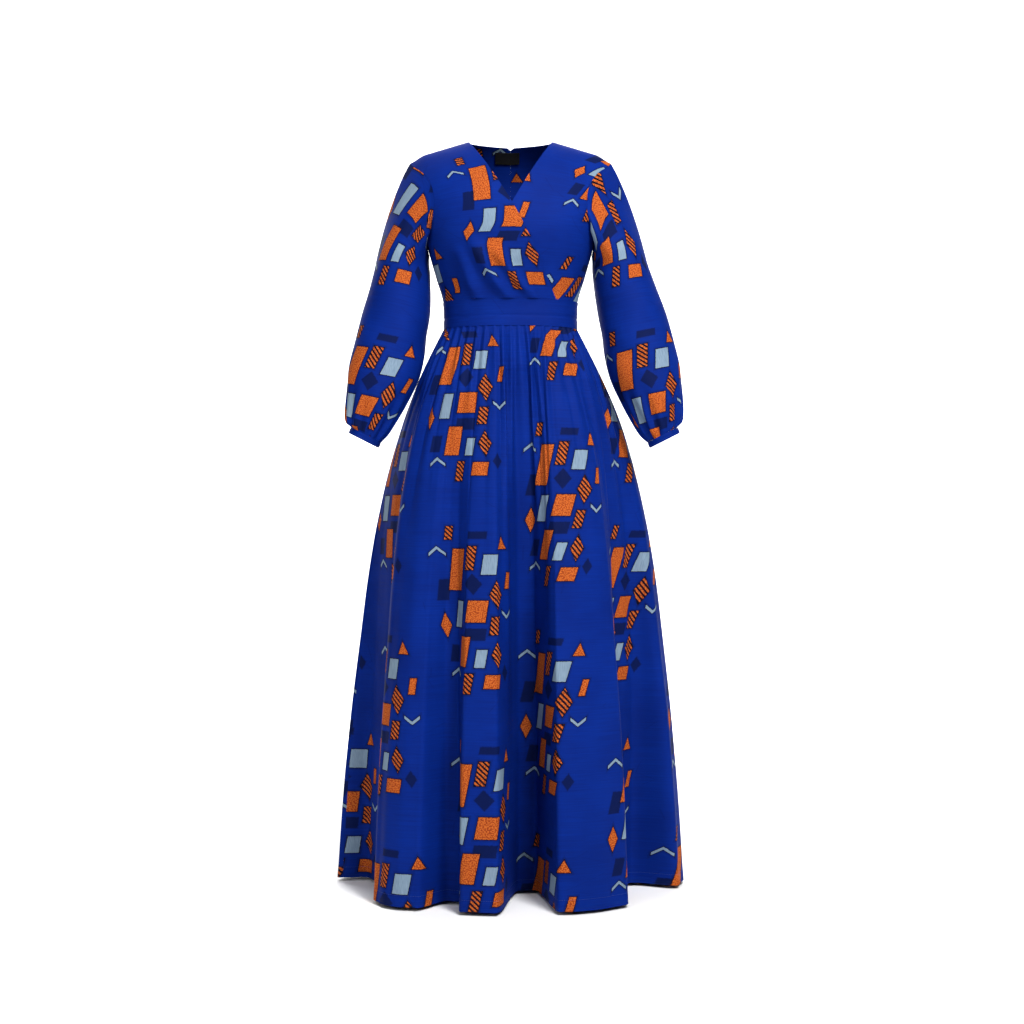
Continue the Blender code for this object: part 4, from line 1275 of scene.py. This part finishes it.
class DRESS_OT_cuffs(Operator):
    """Sews the narrow cuffs"""
    bl_idname = "dress.cuffs"
    bl_label = "Cuffs"

    def execute(self, context):
        last = SLEEVE[-1]
        (inner_x, inner_z), (outer_x, outer_z) = last.inner, last.outer
        middle = np.array(((inner_x + outer_x) / 2, last.middle, (inner_z + outer_z) / 2))
        tilt = math.atan2(outer_z - inner_z, outer_x - inner_x)
        down = np.array((math.sin(tilt), 0, -math.cos(tilt)))
        across = np.array((math.cos(tilt), 0, math.sin(tilt)))
        half = math.hypot(outer_x - inner_x, outer_z - inner_z) / 2
        angle = np.linspace(0, 2 * math.pi, CUFF_COLUMNS + 1)[:-1]
        for name, side in (("left", 1), ("right", -1)):
            outer = []
            inner = []
            faces = []
            for share in np.linspace(0, 1, CUFF_ROWS + 1):
                swell = CUFF_SWELL * math.sin(math.pi * share) + CUFF_PROUD
                uneven = CUFF_UNEVEN * np.sin(angle * 9 + 5 * share)
                centre = middle + down * (CUFF_GAP + share * CUFF_HEIGHT) + np.array((SWING[name], 0, 0))
                away = across * np.cos(angle)[:, None] - np.array((0, 1, 0)) * np.sin(angle)[:, None]
                for rows, size in ((outer, swell + uneven), (inner, swell + uneven - BAND_CLOTH)):
                    ring = (centre + across * ((half + size) * np.cos(angle))[:, None]
                            - np.array((0, 1, 0)) * ((last.depth + size) * np.sin(angle))[:, None])
                    rows.append(ring * np.array((side, 1, 1)))
                faces.append(away * np.array((side, 1, 1)))
            outer = np.array(outer)
            inner = np.array(inner)
            around = np.concatenate((angle, [2 * math.pi])) * (half + last.depth) / 2
            drop = np.linspace(0, CUFF_HEIGHT, CUFF_ROWS + 1)
            cut = np.stack(np.broadcast_arrays(-side * around[None, :], -drop[:, None]), axis=-1)
            cut = cut + np.array(CUFF_SHIFT[name])
            NETS[f"cuff_{name}"] = (outer, np.array(faces))
            sew_on(f"cuff_{name}", (outer, inner), cut, "sleeve_cotton",
                   closed=True)
        return {"FINISHED"}


BAND_ROWS = 26
BAND_SPLIT_X = -0.080
BAND_SHIFT = {"waistband_front": (-0.079, 0.170), "waistband_back_left": (-0.078, 0.170),
              "waistband_back_right": (-0.120, 0.170)}


class DRESS_OT_waistband(Operator):
    """Sews the waistband with its pressed crease"""
    bl_idname = "dress.waistband"
    bl_label = "Waistband"

    def execute(self, context):
        half_gap = SEWN_GAP / 2
        split = float(turn_at(0.0, BAND_SPLIT_X))
        side = math.pi / 2
        top = WAIST - half_gap
        bottom = WAIST - BAND_HEIGHT + half_gap
        heights = np.linspace(bottom, top, BAND_ROWS + 1)
        slit = half_gap / WAIST_FRONT
        for name, start, end, columns in (("waistband_front", split, side, 110),
                                          ("waistband_back_left", side, math.pi, 64),
                                          ("waistband_back_right", -math.pi, split, 96)):
            turns = np.linspace(start + slit, end - slit, columns + 1)
            outer, inner, outward = fine_grid(band_surface, turns, heights, BAND_CLOTH, 1)
            u, v = np.meshgrid(turns, (heights - bottom) / (top - bottom))
            swell = BAND_SWELL * ripple(u * 7.0, v * 2.0, 2.0) * np.sin(math.pi * v)
            outer = outer + outward * swell[..., None]
            for net in (outer, inner):
                net[0, :, 2] = bottom
                net[-1, :, 2] = top
            cut = cut_of(outer) + np.array(BAND_SHIFT[name])
            sew_on(name, (outer, inner), cut, "band_cotton")
        return {"FINISHED"}


def fine_gather(gather, drop, depth):
    """Gathers at the waist: each has its own height and runs out at its own length."""
    number = np.round(gather)
    from_middle = np.abs(gather - SKIRT_GATHERS / 4) / (SKIRT_GATHERS / 4)
    reach = 0.20 + 0.12 * np.sin(number * 2.9) + 0.10 * np.exp(-((from_middle / 0.45) ** 2))
    lasting = 1 - smooth((drop - reach * 0.35) / np.maximum(reach, 0.08))
    base = gather_wave(gather, np.minimum(drop, SKIRT[3].drop))
    crimp = CRIMP * np.cos(4 * math.pi * gather + 1.3 * np.sin(number))
    crimp = crimp * (1 - smooth((drop - 0.02) / 0.08))
    slow = SKIRT_SWELL * ripple(gather * 1.9, drop * 2.2, 3.0)
    slow = slow * smooth((drop - 0.04) / 0.12) * (1 - smooth((drop - 0.45) / 0.5))
    return depth * (base * lasting + crimp) + slow


def skirt_drops():
    """Drops of the skirt's rings: close together at the gathers and at the turned hem."""
    hem_starts = SKIRT_LENGTH - HEM_TURN - HEM_LEAD
    top = np.linspace(0, GATHERS_END, FINE_GATHER_ROWS + 1)
    middle = np.linspace(GATHERS_END, hem_starts, FINE_FALL_ROWS + 1)[1:]
    hem = np.linspace(hem_starts, SKIRT_LENGTH, FINE_HEM_ROWS + 1)[1:]
    return np.concatenate((top, middle, hem))


def flared_cut(net, grain_column, drops):
    """Places on a flared panel: true widths at the waist, and the grain along the folds towards the hem."""
    across = walked(net, 1)
    across = across - across[:, grain_column][:, None]
    rows = np.interp(SKIRT_FREE * np.tanh(drops / SKIRT_FREE), drops, np.arange(len(drops)))
    low = np.floor(rows).astype(int)
    high = np.minimum(low + 1, len(drops) - 1)
    part = (rows - low)[:, None]
    eased = across[low] * (1 - part) + across[high] * part
    down = np.broadcast_to(-walked(net, 0).mean(axis=1)[:, None], eased.shape)
    return np.stack((eased, down), axis=-1)


class DRESS_OT_skirt(Operator):
    """Sews the long skirt: gathers at the waist, large folds and a turned hem"""
    bl_idname = "dress.skirt"
    bl_label = "Skirt"

    def execute(self, context):
        half_gap = SEWN_GAP / 2
        half = SKIRT_GATHERS // 2
        top = WAIST - BAND_HEIGHT
        depth = context.scene.dress_sizes.gather_depth
        drops = skirt_drops()
        for name, first, last in (("skirt_front", 0, half),
                                  ("skirt_back_left", half, half + half // 2),
                                  ("skirt_back_right", -half // 2, 0)):
            gathers = np.linspace(first, last, (last - first) * FINE_GATHER_COLUMNS + 1)
            outer = []
            inner = []
            faces = []
            for number, drop in enumerate(drops):
                here = np.full(gathers.shape, drop)
                outward = skirt_outward(gathers, here)
                wave = fine_gather(gathers, here, depth)
                line = drop - (SKIRT_LENGTH - HEM_TURN)
                dent = HEM_DENT * math.exp(-((line / DENT_REACH) ** 2))
                turned = HEM_PROUD * smooth((line + HEM_EASE) / HEM_EASE) - dent
                place = plain_skirt(gathers, here) + outward * (wave + turned)[:, None]
                ends = gathers[[0, -1]]
                seamward = unit(plain_skirt(ends + 0.1, here[:2]) - plain_skirt(ends - 0.1, here[:2]))
                thin = place - outward * SKIRT_CLOTH
                for net in (place, thin):
                    net[0] += seamward[0] * half_gap
                    net[-1] -= seamward[1] * half_gap
                    net[:, 2] = top - drop - (half_gap if number == 0 else 0)
                outer.append(place)
                inner.append(thin)
                faces.append(outward)
            outer = np.array(outer)
            inner = np.array(inner)
            cut = flared_cut(outer, int(np.argmin(np.abs(gathers - SKIRT_GRAIN[name]))), drops)
            cut = cut + np.array(SKIRT_SHIFT[name])
            NETS[name] = (outer, np.array(faces))
            sew_on(name, (outer, inner), cut, "skirt_cotton")
        return {"FINISHED"}


SKIRT_FREE = 0.75
SKIRT_GRAIN = {"skirt_front": 12, "skirt_back_left": 36, "skirt_back_right": -12}
SKIRT_SHIFT = {"skirt_front": (0.116, 0.160), "skirt_back_left": (0.0, 0.060),
               "skirt_back_right": (0.0, 0.060)}


class DRESS_OT_label(Operator):
    """Sews the small blank label inside the back of the neck"""
    bl_idname = "dress.label"
    bl_label = "Neck label"

    def execute(self, context):
        across = np.linspace(LABEL_LEFT, LABEL_RIGHT, FINE_LABEL_COLUMNS + 1)
        outer = []
        inner = []
        drops = np.linspace(LABEL_BELOW_NECK + LABEL_HEIGHT, LABEL_BELOW_NECK, FINE_LABEL_ROWS + 1)
        for drop in drops:
            low = np.full(across.shape, 2.0)
            high = np.full(across.shape, 3.0)
            for _ in range(SETTLING_ROUNDS):
                level = (low + high) / 2
                place = torso(level, math.pi - turn_at(level, across))
                low = np.where(place[..., 2] < BACK_NECK_Z - drop, level, low)
                high = np.where(place[..., 2] < BACK_NECK_Z - drop, high, level)
            turn = math.pi - turn_at(level, across)
            outward = unit(np.cross(torso(level, turn + STEP) - torso(level, turn - STEP),
                                    torso(level + STEP, turn) - torso(level - STEP, turn)))
            clear = CLOTH + LABEL_CLEAR
            outer.append(place - outward * clear)
            inner.append(place - outward * (clear + LABEL_CLOTH))
        outer = np.array(outer)
        inner = np.array(inner)
        cut = cut_of(outer)
        sew_on("neck_label", (outer, inner), cut, "label_tape",
               ending="tape")
        return {"FINISHED"}


def stitch_tree():
    """Geometry Nodes: one stitch at each pitch along a line, lying along it."""
    tree = bpy.data.node_groups.new("Running stitch", "GeometryNodeTree")
    interface = tree.interface
    interface.new_socket("Line", in_out="INPUT", socket_type="NodeSocketGeometry")
    for label, default in (("Pitch", 0.003), ("Length", 0.002), ("Width", 0.0005)):
        socket = interface.new_socket(label, in_out="INPUT", socket_type="NodeSocketFloat")
        socket.default_value = default
    interface.new_socket("Thread", in_out="INPUT", socket_type="NodeSocketMaterial")
    interface.new_socket("Stitches", in_out="OUTPUT", socket_type="NodeSocketGeometry")
    nodes = tree.nodes
    given = nodes.new("NodeGroupInput")
    result = nodes.new("NodeGroupOutput")
    curve = nodes.new("GeometryNodeMeshToCurve")
    spaced = nodes.new("GeometryNodeResampleCurve")
    spaced.mode = "LENGTH"
    ball = nodes.new("GeometryNodeMeshUVSphere")
    ball.inputs["Segments"].default_value = 6
    ball.inputs["Rings"].default_value = 4
    ball.inputs["Radius"].default_value = 0.5
    size = nodes.new("ShaderNodeCombineXYZ")
    tangent = nodes.new("GeometryNodeInputTangent")
    aligned = nodes.new("FunctionNodeAlignRotationToVector")
    aligned.axis = "X"
    placed = nodes.new("GeometryNodeInstanceOnPoints")
    real = nodes.new("GeometryNodeRealizeInstances")
    painted = nodes.new("GeometryNodeSetMaterial")
    for source, output, target, entry in (
            (given, "Line", curve, 0), (curve, 0, spaced, "Curve"), (given, "Pitch", spaced, "Length"),
            (spaced, 0, placed, "Points"), (ball, "Mesh", placed, "Instance"),
            (tangent, 0, aligned, "Vector"), (aligned, 0, placed, "Rotation"), (given, "Length", size, "X"),
            (given, "Width", size, "Y"), (given, "Width", size, "Z"), (size, 0, placed, "Scale"),
            (placed, 0, real, 0),
            (real, 0, painted, "Geometry"), (given, "Thread", painted, "Material"), (painted, 0, result, 0)):
        tree.links.new(source.outputs[output], target.inputs[entry])
    return tree


def stitched(name, lines, sizes):
    """Rows of stitches along lines of points, made plain meshes."""
    mesh = bpy.data.meshes.new(name)
    places = []
    edges = []
    for line in lines:
        start = len(places)
        places.extend(line.tolist())
        edges.extend((number, number + 1) for number in range(start, len(places) - 1))
    mesh.from_pydata(places, edges, [])
    guide = bpy.data.objects.new(f"{name}_line", mesh)
    bpy.context.scene.collection.objects.link(guide)
    modifier = guide.modifiers.new("Running stitch", "NODES")
    modifier.node_group = bpy.data.node_groups.get("Running stitch") or stitch_tree()
    given = {item.name: item.identifier for item in modifier.node_group.interface.items_tree
             if item.item_type == "SOCKET" and item.in_out == "INPUT"}
    modifier[given["Pitch"]] = sizes.stitch_pitch
    modifier[given["Length"]] = sizes.stitch_length
    modifier[given["Width"]] = sizes.stitch_width
    modifier[given["Thread"]] = dress_material("thread")
    evaluated = guide.evaluated_get(bpy.context.evaluated_depsgraph_get())
    made = bpy.data.meshes.new_from_object(evaluated)
    made.name = name
    made.shade_smooth()
    piece = bpy.data.objects.new(name, made)
    bpy.context.scene.collection.objects.link(piece)
    bpy.data.objects.remove(guide, do_unlink=True)
    if not len(piece.data.materials):
        piece.data.materials.append(dress_material("thread"))
    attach(piece, "root")
    return piece


def line_on(name, row_share, lift, closed=False):
    """A line along one row of a piece's net, lifted off the cloth."""
    outer, outward = NETS[name]
    row = row_share * (outer.shape[0] - 1)
    low = int(math.floor(row))
    high = min(low + 1, outer.shape[0] - 1)
    part = row - low
    line = outer[low] * (1 - part) + outer[high] * part + outward[low] * lift
    return np.concatenate((line, line[:1])) if closed else line


class DRESS_OT_stitching(Operator):
    """Sews the hem and the cuffs with rows of stitches"""
    bl_idname = "dress.stitching"
    bl_label = "Stitching"

    def execute(self, context):
        sizes = context.scene.dress_sizes
        drops = skirt_drops()
        row = int(np.argmin(np.abs(drops - (SKIRT_LENGTH - HEM_TURN)))) / (len(drops) - 1)
        lift = sizes.stitch_width * STITCH_LIFT
        hems = [line_on(name, row, lift) for name in ("skirt_front", "skirt_back_left", "skirt_back_right")]
        stitched("hem_stitches", hems, sizes)
        for name in ("left", "right"):
            line = line_on(f"cuff_{name}", CUFF_STITCH_SHARE, lift, closed=True)
            stitched(f"cuff_{name}_stitches", [line], sizes)
        return {"FINISHED"}


FLOOR_Z = -1.432
PAPER_HALF = 9.0
PAPER_NEAR = -7.0
PAPER_BEND_AT = 3.0
PAPER_BEND = 1.6
PAPER_BEND_STEPS = 16
PAPER_TOP = 7.0
PAPER_WHITE = (0.90, 0.90, 0.90, 1)
CAMERA_PLACE = (0.003, -3.4, -0.7005)
CAMERA_LENS = 61.3
STITCH_LIFT = 0.1


class DRESS_OT_stage(Operator):
    """Sets the pale floor and backdrop, the soft lights and the camera"""
    bl_idname = "dress.stage"
    bl_label = "Stage"

    def execute(self, context):
        profile = [(PAPER_NEAR, FLOOR_Z)]
        for step in range(PAPER_BEND_STEPS + 1):
            turn = math.radians(90 * step / PAPER_BEND_STEPS)
            profile.append((PAPER_BEND_AT + PAPER_BEND * math.sin(turn),
                            FLOOR_Z + PAPER_BEND * (1 - math.cos(turn))))
        profile.append((PAPER_BEND_AT + PAPER_BEND, PAPER_TOP))
        verts = [(x, y, z) for x in (-PAPER_HALF, PAPER_HALF) for y, z in profile]
        count = len(profile)
        faces = [(number, number + 1, number + 1 + count, number + count) for number in range(count - 1)]
        mesh = bpy.data.meshes.new("sweep")
        mesh.from_pydata(verts, [], faces)
        mesh.shade_smooth()
        sweep = bpy.data.objects.new("sweep", mesh)
        context.scene.collection.objects.link(sweep)
        material = bpy.data.materials.new("pale_paper")
        material.use_nodes = True
        tree = material.node_tree
        shader = tree.nodes["Principled BSDF"]
        shader.inputs["Base Color"].default_value = PAPER_WHITE
        shader.inputs["Roughness"].default_value = 0.9
        mesh.materials.append(material)
        for light in LIGHTS:
            lamp = bpy.data.lights.new(light.name, "AREA")
            lamp.shape = "RECTANGLE"
            lamp.size, lamp.size_y = light.size
            lamp.energy = light.power
            thing = bpy.data.objects.new(light.name, lamp)
            thing.location = light.place
            aim = Vector(light.target) - Vector(light.place)
            thing.rotation_euler = aim.to_track_quat("-Z", "Y").to_euler()
            context.scene.collection.objects.link(thing)
        world = bpy.data.worlds.new("studio")
        world.use_nodes = True
        sky = world.node_tree.nodes["Background"]
        sky.inputs["Color"].default_value = (1, 1, 1, 1)
        seen = wire(world.node_tree, world.node_tree.nodes.new("ShaderNodeLightPath"), "Is Camera Ray")
        feed(world.node_tree, sky.inputs["Strength"], seen * (SKY_SEEN - SKY_LIGHT) + SKY_LIGHT)
        context.scene.world = world
        context.scene.view_settings.view_transform = "Standard"
        lens = bpy.data.cameras.new("camera")
        lens.sensor_width = 36
        lens.lens = CAMERA_LENS
        lens.clip_end = 60
        camera = bpy.data.objects.new("camera", lens)
        camera.location = CAMERA_PLACE
        camera.rotation_euler = (math.radians(90), 0, 0)
        context.scene.collection.objects.link(camera)
        context.scene.camera = camera
        return {"FINISHED"}


SKY_SEEN = 1.0
SKY_LIGHT = 0.07
DRESS_MIDDLE = (0.0, 0.0, -0.65)


class Light(NamedTuple):
    """A soft rectangular lamp: its place, where it looks, its size in metres and its power in watts."""
    name: str
    place: tuple
    target: tuple
    size: tuple
    power: float


LIGHTS = (
    Light("key_light", place=(1.4, -2.9, 2.2), target=DRESS_MIDDLE, size=(1.0, 1.0), power=215.0),
    Light("fill_light", place=(-2.2, -3.6, 0.6), target=DRESS_MIDDLE, size=(1.8, 2.0), power=38.0),
    Light("top_light", place=(0.2, -1.2, 2.8), target=DRESS_MIDDLE, size=(1.4, 1.0), power=50.0),
    Light("back_light", place=(-0.6, 2.4, 1.0), target=DRESS_MIDDLE, size=(3.0, 2.6), power=120.0),
    Light("paper_light", place=(0.0, 1.7, 0.6), target=(0.0, 4.6, 0.4), size=(7.0, 3.0), power=330.0),
)


class VIEW3D_PT_dress(Panel):
    """Lists the steps and sizes of the dress"""
    bl_label = "Wrap dress"
    bl_idname = "VIEW3D_PT_dress"
    bl_space_type = "VIEW_3D"
    bl_region_type = "UI"
    bl_category = "Dress"

    def draw(self, context):
        for step in STEPS:
            self.layout.operator(step.bl_idname, text=step.bl_label)
        for settings in (context.scene.dress_sizes, context.scene.dress_colours):
            for name in settings.bl_rna.properties.keys():
                if name not in ("rna_type", "name"):
                    self.layout.prop(settings, name)


STEPS = (DRESS_OT_stage, DRESS_OT_fronts, DRESS_OT_backs, DRESS_OT_sleeves, DRESS_OT_cuffs,
         DRESS_OT_waistband, DRESS_OT_skirt, DRESS_OT_label, DRESS_OT_stitching)
CLASSES = (DressSizes, DressColours) + STEPS + (VIEW3D_PT_dress,)


def register():
    for entry in CLASSES:
        bpy.utils.register_class(entry)
    bpy.types.Scene.dress_sizes = PointerProperty(type=DressSizes)
    bpy.types.Scene.dress_colours = PointerProperty(type=DressColours)


def unregister():
    del bpy.types.Scene.dress_colours
    del bpy.types.Scene.dress_sizes
    for entry in reversed(CLASSES):
        bpy.utils.unregister_class(entry)


def main():
    register()
    for name in ("stage", "fronts", "backs", "sleeves", "cuffs", "waistband", "skirt", "label", "stitching"):
        getattr(bpy.ops.dress, name)()


if __name__ == "__main__":
    main()
